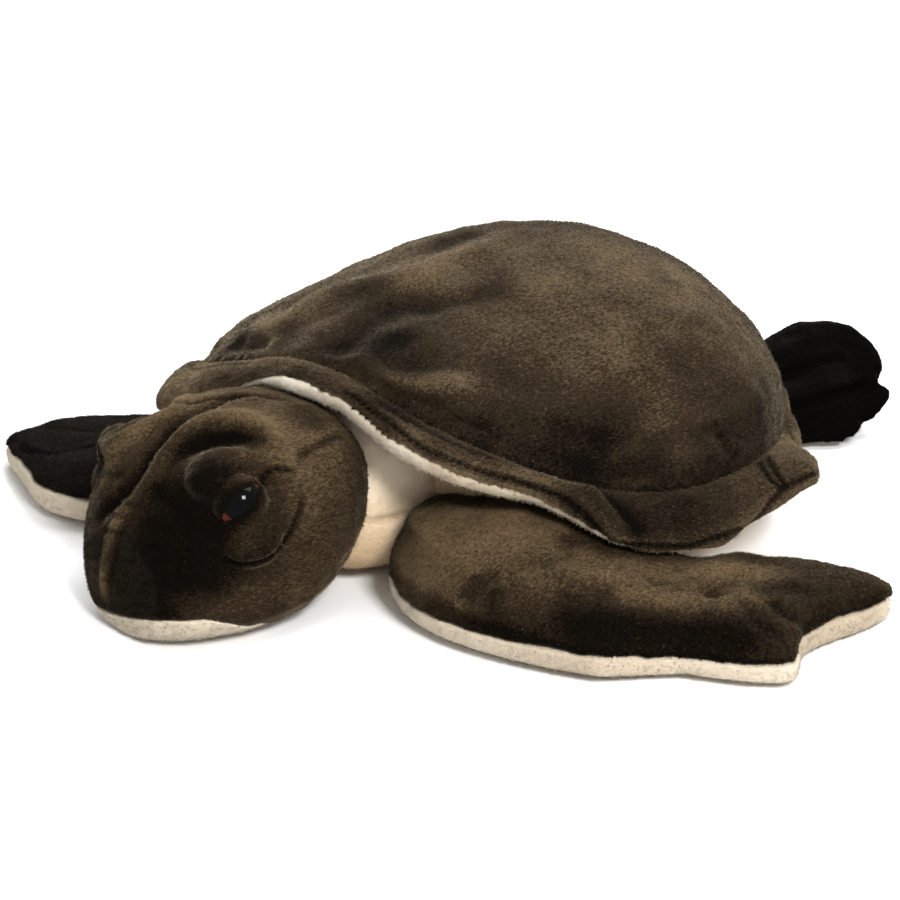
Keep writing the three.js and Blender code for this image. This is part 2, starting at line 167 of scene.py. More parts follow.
class Panel:
    """The cloth of one sewn part: points in millimetres and faces with four corners."""

    def __init__(self, name, nodes, pitch, relax):
        self.name, self.nodes = name, nodes
        self.points, self.faces = largest_part(*remeshed(nodes, pitch))
        self.start = self.faces.ravel()
        self.end = np.roll(self.faces, -1, axis=1).ravel()
        self.count = np.bincount(self.start, minlength=len(self.points))
        self.relax(relax)
        self.shade = np.zeros(len(self.points))
        self.bare = np.zeros(len(self.points))

    def spread(self, values):
        """Each point's mean over its neighbours."""
        values = np.asarray(values, float)
        columns = values.reshape(len(values), -1).T
        sums = [np.bincount(self.start, c[self.end], len(values)) for c in columns]
        return (np.array(sums) / self.count).T.reshape(values.shape)

    def ease(self, share):
        """Moves the points a share of the way to the middle of their neighbours."""
        step = self.spread(self.points) - self.points
        self.points = self.points + np.reshape(share, (-1, 1)) * step

    def relax(self, rounds):
        for _ in range(rounds):
            self.ease(RELAX_IN)
            self.ease(RELAX_OUT)

    def face_normals(self):
        a, b, c, d = (self.points[self.faces[:, k]] for k in range(4))
        return np.cross(c - a, d - b) / 2

    def normals(self):
        faces = self.face_normals()
        corners = self.faces.ravel()
        sums = [np.bincount(corners, np.repeat(f, 4), len(self.points)) for f in faces.T]
        return unit(np.array(sums).T)

    def push(self, amount):
        """Moves every point out along its evened normal, by millimetres."""
        outward = unit(self.spread(self.spread(self.normals())))
        self.points = self.points + outward * np.reshape(amount, (-1, 1))

    def blunt(self, rounds, pitch):
        """Rounds off the sharp edges and leaves the smooth parts as they are."""
        for _ in range(rounds):
            bend = self.spread(self.points) - self.points
            share = 0.5 * ramp(BLUNT_FROM, BLUNT_FULL, np.linalg.norm(bend, axis=1) / pitch)
            self.points = self.points + self.spread(share)[:, None] * bend

    def tree(self):
        """The cloth as Blender's search tree, which finds nearest points and hits of a ray."""
        return BVHTree.FromPolygons(self.points.tolist(), self.faces.tolist())

    def nearest(self, other, reach):
        """For each point, another cloth's nearest place, with its normal, face and distance."""
        tree = other.tree()
        return [tree.find_nearest(Vector(place), reach) for place in self.points]

    def snap(self, places):
        """The nearest points of the cloth."""
        tree = self.tree()
        return np.array([tree.find_nearest(Vector(place))[0] for place in places])


# %% [markdown]
# ## Sculpting strokes
# A stroke is what a sculptor's finger does: it runs along a curve on the cloth and presses a
# groove or raises a ridge. The curve is a few points near the surface. The helper joins them
# smoothly, drops them on the cloth, and measures how far each point of the panel is from it and
# how far along it lies. Everything else is a profile of those two distances, painted shade too:
# most grooves are painted darker and most ridges lighter, as light and shade would fall on them.

# %% Strokes
CURVE_STEPS = 10


def smooth_curve(points):
    """A smooth curve through a few points."""
    p = np.asarray(points, float)
    p = np.vstack([2 * p[0] - p[1], p, 2 * p[-1] - p[-2]])
    t = np.linspace(0, 1, CURVE_STEPS, endpoint=False)[:, None]
    pieces = []
    for a, b, c, d in zip(p, p[1:], p[2:], p[3:]):
        bend = (2 * a - 5 * b + 4 * c - d) * t**2 + (3 * b - a - 3 * c + d) * t**3
        pieces.append(b + 0.5 * ((c - a) * t + bend))
    return np.vstack([*pieces, p[-2:-1]])


def along(points, line):
    """How far each point is from a line, and how far along the line it lies."""
    tree = KDTree(len(line))
    for k, place in enumerate(line):
        tree.insert(place, k)
    tree.balance()
    nearest = np.array([tree.find(place)[1] for place in points], int).reshape(-1)
    step = np.diff(line, axis=0)
    length = np.maximum(np.linalg.norm(step, axis=1), 1e-9)
    run = np.concatenate([[0], np.cumsum(length)])
    best, reached = np.full(len(points), np.inf), np.zeros(len(points))
    for segment in (np.maximum(nearest - 1, 0), np.minimum(nearest, len(step) - 1)):
        offset = points - line[segment]
        share = np.clip((offset * step[segment]).sum(1) / length[segment] ** 2, 0, 1)
        gap = np.linalg.norm(offset - share[:, None] * step[segment], axis=1)
        closer = gap < best
        best = np.where(closer, gap, best)
        reached = np.where(closer, run[segment] + share * length[segment], reached)
    return best, reached, run[-1]


def mirror(points):
    """The same points on the toy's other side."""
    return np.asarray(points, float) * (-1, 1, 1)


AS_DRAWN = (np.asarray,)
BOTH_SIDES = (np.asarray, mirror)


def stroke(panel, curve, width, depth, shade=0.0, fade=0.25, stitch=0.0, drop=True):
    """Presses a groove, or with a negative depth raises a ridge, and paints light or shade along a curve."""
    line = smooth_curve(curve)
    if drop:
        line = panel.snap(line)
    reach = np.all((panel.points > line.min(0) - width) & (panel.points < line.max(0) + width), 1)
    near = np.flatnonzero(reach)
    gap, run, length = along(panel.points[near], line)
    profile = np.clip(1 - (gap / width) ** 2, 0, 1) ** 2
    if fade:
        profile *= ramp(0, fade * length, run) * ramp(0, fade * length, length - run)
    if stitch:
        profile *= 0.72 + 0.28 * np.cos(2 * np.pi * run / stitch)
    amount = np.zeros(len(panel.points))
    amount[near] = -depth * profile
    panel.push(amount)
    panel.shade[near] += shade * profile


def strokes(panel, sides, rows):
    """Strokes from rows of: curve, width, depth, painted shade, and perhaps fade and stitch length."""
    for side in sides:
        for curve, *row in rows:
            stroke(panel, side(curve), *row)


def waves(points, size, seed):
    """A soft random field between about -1 and 1, with hills of the given size."""
    random = np.random.default_rng(seed)
    total = np.zeros(len(points))
    for direction in unit(random.normal(size=(14, 3))):
        pace = 2 * np.pi / size * random.uniform(0.6, 1.5)
        total += np.sin(points @ direction * pace + random.uniform(0, 2 * np.pi))
    return total / math.sqrt(7)


# %% [markdown]
# ## Cutting the panels
# Each panel starts as the remeshed copy of its solid, pulled in by the height of the pile, so
# that the pile's tips end where the solid's surface is. The faces that two halves press against
# each other aren't pulled in, so no gap opens at a seam. `facing` says which way a panel
# looks: up for the top cloth, down for the lining, and neither for a part that is closed.

# %% Panels
PILE_HEIGHT = 0.9
EDGE_ROUNDS = 6  # how often a sewn edge is rounded off


def cut(name, nodes, pitch, relax, facing=0, inset=PILE_HEIGHT):
    panel = Panel(name, nodes, pitch, relax)
    upward = panel.normals()[:, 2] * facing if facing else np.ones(len(panel.points))
    panel.bare = 1 - ramp(-0.6, -0.2, upward)
    amount = -inset * ramp(-0.7, 0.1, upward)
    for _ in range(EDGE_ROUNDS):
        amount = panel.spread(amount)
    panel.push(amount)
    panel.relax(relax // 5)
    panel.blunt(EDGE_ROUNDS, pitch)
    print(name, len(panel.faces), "faces")
    return panel


shell = cut("shell_cover", ["shell_dome"], 2.0, 24, 1)
rim = cut("rim_cover", ["shell_rim"], 1.2, 15, 1, 0.6)
rim_lining = cut("rim_underside", ["shell_rim_lining"], 1.5, 24, -1, 0.7)
belly = cut("belly_panel", ["belly"], 4.0, 6)
neck = cut("neck_panel", ["neck"], 1.6, 16, inset=0.5)
head = cut("head_cover", ["head", "eye_left", "eye_right"], 1.0, 50, 1)
chin = cut("chin_panel", ["chin"], 1.2, 22, -1, 0.3)
tail = cut("tail_cover", ["tail"], 1.8, 10)
FRONT_FLIPPERS = ["flipper_front_left", "flipper_front_right"]
HIND_FLIPPERS = ["flipper_rear_left", "flipper_rear_right"]
flippers = {node: cut(node + "_cover", [node], 1.4, 22, 1, 0.7) for node in FRONT_FLIPPERS}
undersides = {
    node: cut(node + "_lining", [node + "_under"], 1.8, 14, -1, 0.3)
    for node in FRONT_FLIPPERS + HIND_FLIPPERS
}

# %% [markdown]
# ## Hind flippers
# The dark cloth of a hind flipper wraps round its edge, so this panel covers both halves. The two
# lobes of the tip are rounded off, the lower one swells a little, and a slit is pressed in
# between them. The lining is drawn in, so that it only shows underneath.

# %% Hind flippers
NOTCH = np.array((79.0, 229.0, 27.0))  # between the two lobes of the left hind flipper
NOTCH_ROUNDS, NOTCH_NEAR, NOTCH_FAR = 20, 14, 26  # the lobes are rounded off this close to it
SLIT_WIDTH, SLIT_DEPTH, SLIT_RISES = 5, 1.8, (-14, -7, 0, 7, 14)
LOWER_LOBE = [(87, 224, 26), (89, 219, 22), (88, 212, 16)]
LOBE_WIDTH, LOBE_SWELL = 9, 2.6
HIND_PITCH, HIND_BLUNTING = 1.3, 14
UNDER_PRESSED = 0.8  # how far the dark cloth is pressed in underneath, where the lining lies
LINING_SHARE = 0.9  # size of the lining, set against the dark cloth
for node, side in zip(HIND_FLIPPERS, BOTH_SIDES):
    whole = cut(node + "_cover", [node, node + "_under"], HIND_PITCH, 14, 0, 0.35)
    whole.nodes = [node]
    whole.push(-UNDER_PRESSED * ramp(-0.6, -0.9, whole.normals()[:, 2]))
    notch = side(NOTCH)
    for _ in range(NOTCH_ROUNDS):
        gap = np.linalg.norm(whole.points - notch, axis=1)
        whole.ease(0.5 * ramp(NOTCH_FAR, NOTCH_NEAR, gap))
    whole.blunt(HIND_BLUNTING, HIND_PITCH)
    stroke(whole, side(LOWER_LOBE), LOBE_WIDTH, -LOBE_SWELL, fade=0)
    slit = [notch + (0, 0, rise) for rise in SLIT_RISES]
    # painted shade in the slit
    stroke(whole, slit, SLIT_WIDTH, SLIT_DEPTH, shade=-0.4, fade=0, drop=False)
    flippers[node] = whole
    flat = undersides[node].points[:, :2]
    flat += (1 - LINING_SHARE) * (flat.mean(0) - flat)

# %% [markdown]
# ## Where the parts meet
# On a real toy two cloths are sewn edge to edge, and the filling presses them over the seam, so
# nothing can be seen between them. Here the shell's lower edge swells a little and the rim's
# inner edge is drawn in under it. Where the neck or the lining comes close to another cloth, its
# points are drawn on to that cloth and just under it. How firmly the seam holds each point of
# shell and rim is kept for later, because their folds fade out towards it.

# %% Seams closed
SKIRT_DROP = 2.4  # millimetres that the shell's lower edge swells
RIM_TUCK, TUCK_REACH = 3.5, 9  # millimetres that the rim's inner edge is drawn in, fading outwards
BEARING_STEP = 4  # degrees
SHELL_MIDDLE = np.array((0.0, 20.0))

shell.push(SKIRT_DROP * ramp(0.25, -0.35, shell.normals()[:, 2]))
shell.relax(4)


def meet(panel, other, reach, sink, chosen=1.0):
    """Draws a panel's nearest points under another panel's cloth, fading over the reach."""
    found = panel.nearest(other, reach)
    near = np.array([k for k, hit in enumerate(found) if hit[0] is not None], int)
    if len(near):
        place = np.array([found[k][0] for k in near])
        outward = np.array([found[k][1] for k in near])
        gap = np.array([found[k][3] for k in near])
        share = ramp(reach, 0.3 * reach, gap) * (np.ones(len(panel.points)) * chosen)[near]
        panel.points[near] += share[:, None] * (place - sink * outward - panel.points[near])
    print(panel.name, "meets", other.name, "with", len(near), "points")


def round_the_middle(panel):
    """Each point seen from the shell's middle: its way, its bearing and its distance."""
    flat = panel.points[:, :2] - SHELL_MIDDLE
    return flat, np.degrees(np.arctan2(flat[:, 0], -flat[:, 1])), np.linalg.norm(flat, axis=1)


def drawn_in(panel, amount, reach):
    """Moves the rim's inner edge towards the shell's middle, fading outwards over the reach."""
    flat, bearing, distance = round_the_middle(panel)
    slots = 360 // BEARING_STEP
    slot = np.round(bearing / BEARING_STEP).astype(int) % slots
    nearest = np.array([distance[slot == k].min() for k in range(slots)])
    share = ramp(reach, 0, distance - nearest[slot])
    panel.points[:, :2] -= flat / distance[:, None] * (amount * share)[:, None]


drawn_in(rim, RIM_TUCK, TUCK_REACH)


def held(panel, other, reach):
    """How firmly a seam holds each point of a panel: 1 on the other cloth, 0 beyond the reach."""
    gaps = [hit[3] for hit in panel.nearest(other, reach)]
    return ramp(reach, 0.3 * reach, [reach if gap is None else gap for gap in gaps])


SHELL_HELD, SHELL_BEFORE = held(shell, rim, 9), shell.points.copy()
RIM_HELD, RIM_BEFORE = held(rim, shell, 8), rim.points.copy()
meet(rim_lining, belly, 4, 1.0)
meet(neck, head, 5, 1.2)
meet(neck, belly, 5, 0.8)

# %% [markdown]
# ## The face
# Plush can't be carved, so a toy maker shapes a face with darts, tucks and a few hidden threads
# that pull the cloth in. That leaves soft ridges over the eyes with a deep hollow under them,
# a groove down the middle of the forehead, and a round pad under each eye with a crease round
# it. All of them are strokes here. Most are made on the left and mirrored to the right, but the
# far brow has its own, because no sewn face is quite even.

# %% Folds of the face
FAR_CHEEK_TUCK = 1.3  # the far cheek is stuffed less

head.push(-FAR_CHEEK_TUCK * ramp(-15, -50, head.points[:, 0]))
FOREHEAD_GROOVE = [
    (-17, -212, 44), (-16, -211, 48), (-10, -207, 57), (-4, -201, 66), (-4, -194, 73),
    (-5, -185, 79), (-7, -173, 84), (-5, -158, 89), (-5, -146, 90), (-2, -136, 90),
]
BROW = [
    (5, -209, 55), (7, -204, 61), (6, -197, 69), (5, -190, 76), (3, -177, 83), (4, -167, 87),
    (11, -158, 88), (23, -154, 87), (35, -152, 82), (44, -147, 77),
]
FAR_BROW = [
    (-19, -208, 53), (-24, -201, 62), (-25, -196, 71), (-22, -187, 79), (-20, -179, 82), (-19, -168, 85),
    (-23, -160, 87), (-31, -155, 84), (-40, -152, 79),
]
HOLLOW = [
    (15, -194, 72), (12, -190, 76), (11, -184, 80), (13, -177, 83), (18, -171, 84), (24, -165, 84),
    (31, -162, 83), (38, -159, 79),
]
FAR_HOLLOW = [
    (-30, -193, 72), (-30, -186, 77), (-29, -178, 80), (-29, -170, 83), (-33, -165, 82), (-38, -160, 79),
]
UPPER_LID = [
    (26, -190, 78), (27, -186, 80), (30, -180, 81), (34, -172, 81), (39, -164, 78),
    (45, -159, 74), (50, -153, 69),
]
UNDER_LID_RIDGE = [
    (38, -196, 72), (38, -188, 76), (40, -178, 77), (42, -168, 74), (46, -162, 71),
]
LID_CREASE = [
    (53, -155, 64), (54, -159, 57), (56, -164, 50), (56, -170, 45), (57, -176, 42), (56, -182, 41),
    (53, -187, 41), (48, -191, 42), (44, -195, 45),
]
NOSE_FOLD = [
    (4, -203, 63), (12, -201, 66), (20, -200, 64), (27, -200, 61), (33, -200, 56), (38, -199, 50),
]
CHEEK_SEAM = [(31, -204, 54), (33, -207, 43), (35, -208, 34), (35, -208, 26), (31, -210, 19)]
SNOUT_RIDGE = [(1, -204, 61), (0, -206, 57), (-2, -211, 49), (-5, -214, 36), (-8, -215, 21), (-9, -214, 11)]
NAPE_FOLD = [
    (-25, -176, 82), (-22, -168, 84), (-16, -160, 87), (-5, -142, 90), (6, -133, 89), (16, -126, 87),
]
CORNER_CREASE = [(46, -172, 69), (44, -168, 73), (45, -162, 74), (48, -155, 72)]
BACK_CREASE = [(46, -154, 73), (44, -148, 76), (42, -137, 77), (37, -122, 76), (35, -117, 76)]
NOSE_TUCKS = [
    [(-14, -205, 60), (-6, -205, 61), (2, -203, 63)],
    [(-11, -207, 56), (-3, -207, 57), (4, -205, 59)],
    [(-11, -209, 51), (-3, -209, 52), (5, -208, 54)],
    [(-10, -212, 45), (-3, -212, 46), (5, -212, 48)],
]
# painted shade in these rows: darker in grooves and hollows, lighter on ridges and brows
strokes(head, BOTH_SIDES, [
    (UPPER_LID, 7, -1.2, 0.1, 0.45), (UNDER_LID_RIDGE, 5, 0.6, -0.4, 0.4), (NOSE_FOLD, 5, 1.8, -0.6),
    (CHEEK_SEAM, 2.2, 0.5, -0.2), (BACK_CREASE, 3, 1.2, -0.6, 0.2),
])
strokes(head, AS_DRAWN, [
    (HOLLOW, 12, 3.8, -1.4, 0.4), (HOLLOW, 6, 1.6, -1.2, 0.45), (FAR_HOLLOW, 9, 3.2, -1.2, 0.3),
    (BROW, 7, -2.2, 0.4, 0.2), (FAR_BROW, 8, -2.8, 0.6, 0.2), (FOREHEAD_GROOVE, 5.5, 3.8, -1.1, 0.12),
    (NAPE_FOLD, 3.5, 1.6, -0.8), (SNOUT_RIDGE, 5, -1.6, 0.6), *[(t, 2.2, 0.9, -0.5) for t in NOSE_TUCKS],
])
print("face folded, head now", np.ptp(head.points, axis=0).round(), "mm")

# %% [markdown]
# ## The sockets
# The eye is a plastic ball pressed into the head, and the cloth closes over it. In code that is
# easy on a sphere round the ball: the head is first eased where it meets the ball, and then its
# points are moved out to a little more than the ball's radius. The far ball is pressed in
# deeper, because the far cheek is stuffed less.

# %% Sockets
EYE_RADIUS = 10.5
eye_low, eye_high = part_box("eye_left")
EYE_CENTRE = np.array((Vector(eye_low) + Vector(eye_high)) / 2) / MM
EYE_OUTWARD, EYE_SLANT = unit((0.78, -0.56, 0.3)), np.array((0.34, 0.67, 0.67))
EYE_REACH = 2 * EYE_RADIUS  # beyond this distance from the centre the cloth stays as it is
EASE_ROUNDS, EASE_NEAR, EASE_FAR = 60, 6, 12  # easing fades out between these distances from the ball
LID_SWELL = 1.6  # how far out the cloth is pressed round the ball
SIDES = (np.array((1, 1, 1)), np.array((-1, 1, 1)))
FAR_EYE_SUNK = np.array((2.6, 0.6, 0.0))  # the far eye is pressed in this much deeper


def eye_axes(side):
    """The way the eye looks, and the long and the short direction of its opening."""
    outward = EYE_OUTWARD * side
    slant = EYE_SLANT * side
    long = unit(slant - outward * (slant @ outward))
    return outward, long, np.cross(outward, long)


def eye_centre(side):
    return EYE_CENTRE * side + (FAR_EYE_SUNK if side[0] < 0 else 0)


def round_the_eye(side):
    """Each point of the head as a direction and a distance from the ball's centre."""
    offset = head.points - eye_centre(side)
    return unit(offset), np.linalg.norm(offset, axis=1)


for side in SIDES:
    outward = eye_axes(side)[0]
    for _ in range(EASE_ROUNDS):
        look, distance = round_the_eye(side)
        eased = ramp(EYE_RADIUS + EASE_FAR, EYE_RADIUS + EASE_NEAR, distance)
        head.ease(0.5 * eased * ramp(0.85, 0.6, look @ outward))
    look, distance = round_the_eye(side)
    wanted = np.maximum(distance, EYE_RADIUS + LID_SWELL)
    share = ramp(-0.2, 0.7, look @ outward) * (distance < EYE_REACH)
    head.points += look * ((wanted - distance) * share)[:, None]
head.relax(14)
print("eye centre", EYE_CENTRE.round(1))

# %% [markdown]
# ## Lids
# The cloth leaves an almond shaped opening. In the code `a` runs along it and `b` across, both
# from -1 to 1, and its edge is where b is 1 - a². Outside that edge the cloth is a lid, a little
# thicker than nothing, and inside it drops behind the ball's surface and has no pile. A crease
# runs round the pad under the eye, and small stitches close the outer corner.

# %% Lids
LID_THICKNESS, LID_SHADE = 1.3, 0.9  # painted shade: the pile close to the ball is darker
SOCKET_DEPTH = 2.5  # how far the cloth drops inside the opening
OPENING_LONG, OPENING_SHORT = 10.3, 3.9  # half sizes of the opening
for side in SIDES:
    outward, long, short = eye_axes(side)
    look, distance = round_the_eye(side)
    near = ramp(0.05, 0.35, look @ outward) * (distance < EYE_REACH)
    a = look @ long * EYE_RADIUS / OPENING_LONG
    b = look @ short * EYE_RADIUS / OPENING_SHORT
    beyond = np.abs(b) - (1 - a * a)
    on_lid = ramp(-0.15, 0.15, beyond)
    lid = np.maximum(distance, EYE_RADIUS + LID_THICKNESS)
    wanted = (EYE_RADIUS - SOCKET_DEPTH) * (1 - on_lid) + lid * on_lid
    head.points += look * ((wanted - distance) * near)[:, None]
    head.shade -= LID_SHADE * near * ramp(1.0, 0.0, beyond)
    head.bare = np.maximum(head.bare, near * (1 - ramp(-0.1, 0.25, beyond)))
head.relax(1)
# painted shade in the creases round the eye pads and at the outer corners
strokes(head, BOTH_SIDES, [(LID_CREASE, 2.6, 1.5, -1.1, 0.14), (CORNER_CREASE, 2.2, 1.5, -1.2, 0.1, 4)])
print("points inside the openings:", int((head.bare > 0.9).sum()))

# %% [markdown]
# ## Folds of the shell
# The shell isn't stuffed tight, so the cloth sags between the filling and leaves long soft
# valleys that run up from the rim, with a lighter crest beside them. They are wide strokes,
# which paint shade into the valleys and light on the crests.
# The seam to the rim holds its own line, so the strokes are taken back near it.
# A slow random swell of under a millimetre keeps the rest from looking machined.

# %% Folds of the shell
VALLEY = [(12, -108, 96), (3, -94, 101), (1, -78, 108), (3, -64, 112), (6, -48, 116), (10, -32, 120)]
VALLEY_CREST = [
    (-44, -92, 96), (-48, -71, 104), (-40, -52, 111), (-25, -43, 116), (-10, -27, 121), (6, -8, 125),
]
SECOND_VALLEY = [(14, -60, 112), (19, -42, 116), (28, -26, 119), (38, -14, 120)]
FRONT_DENT = [(-80, -92, 86), (-66, -96, 89), (-52, -99, 91), (-38, -101, 92)]
SIDE_HOLLOW = [(30, -101, 90), (48, -98, 87), (66, -94, 84), (84, -87, 79), (100, -75, 72)]
SIDE_CREST = [(26, -99, 94), (38, -96, 93), (49, -91, 94), (58, -85, 95), (67, -78, 95), (79, -73, 92)]
FRONT_HOLLOWS = [(2, -100, 97), (6, -88, 104), (22, -80, 106), (40, -80, 102), (54, -73, 100)]
TOP_CREST = [(-20, 46, 131), (-11, 30, 130), (-5, 8, 128), (-8, -13, 124), (-10, -36, 119)]
TOP_DENT = [(-32, 30, 128), (-29, 10, 126), (-29, -13, 121)]
SEAM_HOLLOW = [(114, -26, 84), (117, -34, 77), (119, -41, 69), (124, -38, 62)]
SEAM_CREST = [(123, -14, 80), (126, -24, 70), (127, -33, 61)]
BACK_TUCK = [(129, 8, 70), (134, 16, 62), (138, 16, 53)]
# rows of curve, width, depth and painted shade: darker in hollows, lighter on crests
SIDE_FOLDS = [
    (SIDE_HOLLOW, 12, 2.4, -0.35), (SIDE_CREST, 10, -2.4, 0.6), (SEAM_HOLLOW, 12, 1.4, -0.1),
    (SEAM_CREST, 9, -1.8, 0.1), (BACK_TUCK, 6, 1.6, -0.2),
]
FAR_SHARE = 0.7  # the folds on the right side are shallower
for side, share in zip(BOTH_SIDES, (1, FAR_SHARE)):
    for curve, width, depth, shade in SIDE_FOLDS:
        stroke(shell, side(curve), width, share * depth, shade)
# painted shade: darker in the valleys, hollows and dents, lighter on the crests
strokes(shell, AS_DRAWN, [
    (VALLEY, 18, 3.6, -0.7), (FRONT_HOLLOWS, 15, 1.4, -0.75), (SECOND_VALLEY, 14, 2.0, -0.5),
    (VALLEY_CREST, 18, -2.4, 0.15), (FRONT_DENT, 12, 2.5, -0.25), (TOP_CREST, 13, -2.4, 0.1),
    (TOP_DENT, 12, 2.2, -0.1),
])
shell.push(0.7 * waves(shell.points, 60, seed=4) + 0.25 * waves(shell.points, 22, seed=5))
shell.points += SHELL_HELD[:, None] * (SHELL_BEFORE - shell.points)

# %% [markdown]
# ## The rim
# The rim is a padded welt. A line of topstitching runs all round it, about a finger's width from
# the edge, and pulls the cloth into a groove with small puckers; outside that line the edge
# stands up as a roll. Behind the flanks the line is found from the rim itself: for each bearing
# from the shell's middle, it lies a fixed distance inside the outermost point. Two small darts
# take in the cloth on each flank, and near the left shoulder the rim folds over a crest. Last,
# the shell's lower edge is drawn on to the finished rim, so that no slot shows between them.

# %% Rim
STITCH_INSET, STITCH = 7.5, 3.4  # the line's distance from the edge, and the length of one stitch


def round_the_rim(inset):
    """A closed line on top of the rim, at a distance inside its edge."""
    bearing, distance = round_the_middle(rim)[1:]
    steps = np.arange(-180, 180, BEARING_STEP)
    edge = np.array([distance[np.abs((bearing - b + 180) % 360 - 180) < 3].max() for b in steps])
    out = edge - inset
    turn = np.radians(steps)
    middle_x, middle_y = SHELL_MIDDLE
    tree = rim.tree()
    line = []
    for x, y in zip(middle_x + out * np.sin(turn), middle_y - out * np.cos(turn)):
        place = tree.ray_cast(Vector((x, y, 200)), Vector((0, 0, -1)))[0]
        if place is not None:
            line.append(place)
    return np.array([*line, line[0]])


REAR_STITCHES = [place for place in round_the_rim(STITCH_INSET) if place[1] > 72]
SIDE_STITCHES = [
    (143, -57, 37), (146, -51, 37), (150, -46, 36), (155, -36, 34), (159, -28, 34), (161, -20, 35),
    (163, -8, 35), (162, 3, 33), (162, 12, 36), (161, 22, 41), (160, 32, 44), (160, 47, 45),
    (158, 60, 43), (153, 72, 42),
]
FRONT_HOLLOW = [
    (30, -106, 92), (46, -104, 88), (60, -103, 85), (75, -102, 81), (87, -99, 78), (97, -91, 73),
    (104, -82, 69),
]
FRONT_STITCHES = [
    (22, -113, 92), (36, -112, 90), (49, -112, 87), (64, -112, 83), (75, -111, 79), (86, -107, 75),
    (96, -101, 71), (103, -94, 68), (109, -86, 65), (116, -78, 61), (122, -71, 56), (129, -66, 49),
    (136, -61, 42), (143, -55, 36),
]
WELT_RIDGE = [
    (40, -109, 91), (58, -109, 86), (71, -108, 82), (84, -104, 78), (94, -98, 74), (102, -90, 70),
    (108, -82, 67), (115, -73, 63), (122, -66, 58), (129, -62, 51), (136, -58, 44),
]
FOLD_VALLEY = [(122, -53, 56), (129, -54, 53), (135, -54, 50), (141, -52, 45), (148, -47, 39)]
FOLD_CREST = [
    (102, -84, 69), (108, -76, 66), (113, -68, 64), (120, -61, 60), (128, -59, 54), (134, -59, 48),
    (140, -57, 42), (146, -53, 37),
]
DARTS = [
    [(133, 50, 47), (140, 44, 49), (146, 39, 49), (154, 34, 48), (159, 33, 45), (160, 34, 43)],
    [(135, 44, 47), (141, 37, 49), (148, 31, 49), (155, 28, 47), (160, 30, 43)],
]
# painted shade: darker in the stitched grooves, hollows and darts, lighter on the crest and ridge
strokes(rim, AS_DRAWN, [
    (REAR_STITCHES, 2.4, 1.2, -1.2, 0, STITCH), (FRONT_HOLLOW, 8, 0.8, -0.9), (FOLD_CREST, 7, -2.6, 0.5),
    (FOLD_VALLEY, 5, 1.6, -0.7), (WELT_RIDGE, 3, -1.0, 0.35, 0.15),
])
strokes(rim, BOTH_SIDES, [
    (SIDE_STITCHES, 2.4, 1.5, -1.4, 0, STITCH), (FRONT_STITCHES, 2.4, 1.4, -1.3, 0.1, STITCH),
    *[(dart, 2.3, 1.7, -1.6, 0.12) for dart in DARTS],
])
rim.push(0.5 * waves(rim.points, 35, seed=8))
rim.points += RIM_HELD[:, None] * (RIM_BEFORE - rim.points)
rim.shade += 0.1
meet(shell, rim, 6, 0.8, ramp(0.3, 0.0, shell.normals()[:, 2]))

# %% [markdown]
# ## Flippers
# A flipper is an upper and an under cloth, sewn round the edge, turned and lightly filled. Where
# the filling shifts, the upper cloth has dents, and folds run from each dent to the edge. The
# far front flipper and the hind ones are quilted: a few stitched lines run out along them, as
# the fingers of a real flipper do.

# %% Flippers and neck
ELBOW_CREASES = [
    [(127, -104, 35), (128, -112, 32), (125, -118, 27), (125, -124, 19)],
    [(122, -108, 35), (117, -116, 32), (115, -121, 26), (113, -125, 20)],
]
FLIPPER_RIDGE = [
    (131, -113, 30), (135, -102, 33), (142, -88, 34), (151, -78, 32), (162, -69, 30), (174, -60, 29),
]
ROOT_FOLD = [(118, -70, 43), (128, -76, 39), (138, -77, 35), (148, -69, 32)]
TIP_FOLD = [(186, -56, 27), (184, -44, 28), (180, -30, 28), (179, -18, 28)]
LOBE_FOLDS = [
    [(190, -44, 28), (203, -50, 27), (215, -53, 24), (224, -49, 18)],
    [(203, -36, 27), (213, -41, 25), (218, -38, 18)],
]
DENTS = [
    ((124, -69, 40), 8, 1.4), ((161, -60, 30), 8, 2.2), ((184, -50, 28), 9, 2.2), ((203, -20, 26), 12, 1.2),
]
FAR_QUILTING = [
    [(-118, -92, 34), (-150, -108, 28), (-178, -117, 22), (-203, -122, 16)],
    [(-108, -124, 34), (-138, -140, 27), (-165, -148, 20), (-192, -142, 16)],
]
HIND_QUILTING = [
    [(40, 160, 33), (46, 174, 35), (50, 187, 36), (57, 205, 38), (64, 220, 39)],
    [(52, 148, 21), (58, 160, 22), (64, 174, 23), (70, 190, 25), (75, 202, 27), (79, 216, 28), (80, 226, 28)],
]
HIND_RIDGE = [(52, 160, 29), (58, 174, 30), (64, 190, 31), (70, 205, 33), (74, 220, 33)]
front = flippers["flipper_front_left"]
# painted shade: darker in the creases, folds and dents, lighter on the ridge
strokes(front, AS_DRAWN, [
    (FLIPPER_RIDGE, 13, -2.4, 0.3), *[(crease, 6, 2.2, -0.4) for crease in ELBOW_CREASES],
    (ROOT_FOLD, 7, 1.6, -0.3), (TIP_FOLD, 8, 2.2, -0.3), *[(fold, 6.5, 2.0, -0.5) for fold in LOBE_FOLDS],
    *[([(x - 1, y, z), (x + 1, y, z)], width, depth, -0.3, 0) for (x, y, z), width, depth in DENTS],
])
far_front = flippers["flipper_front_right"]
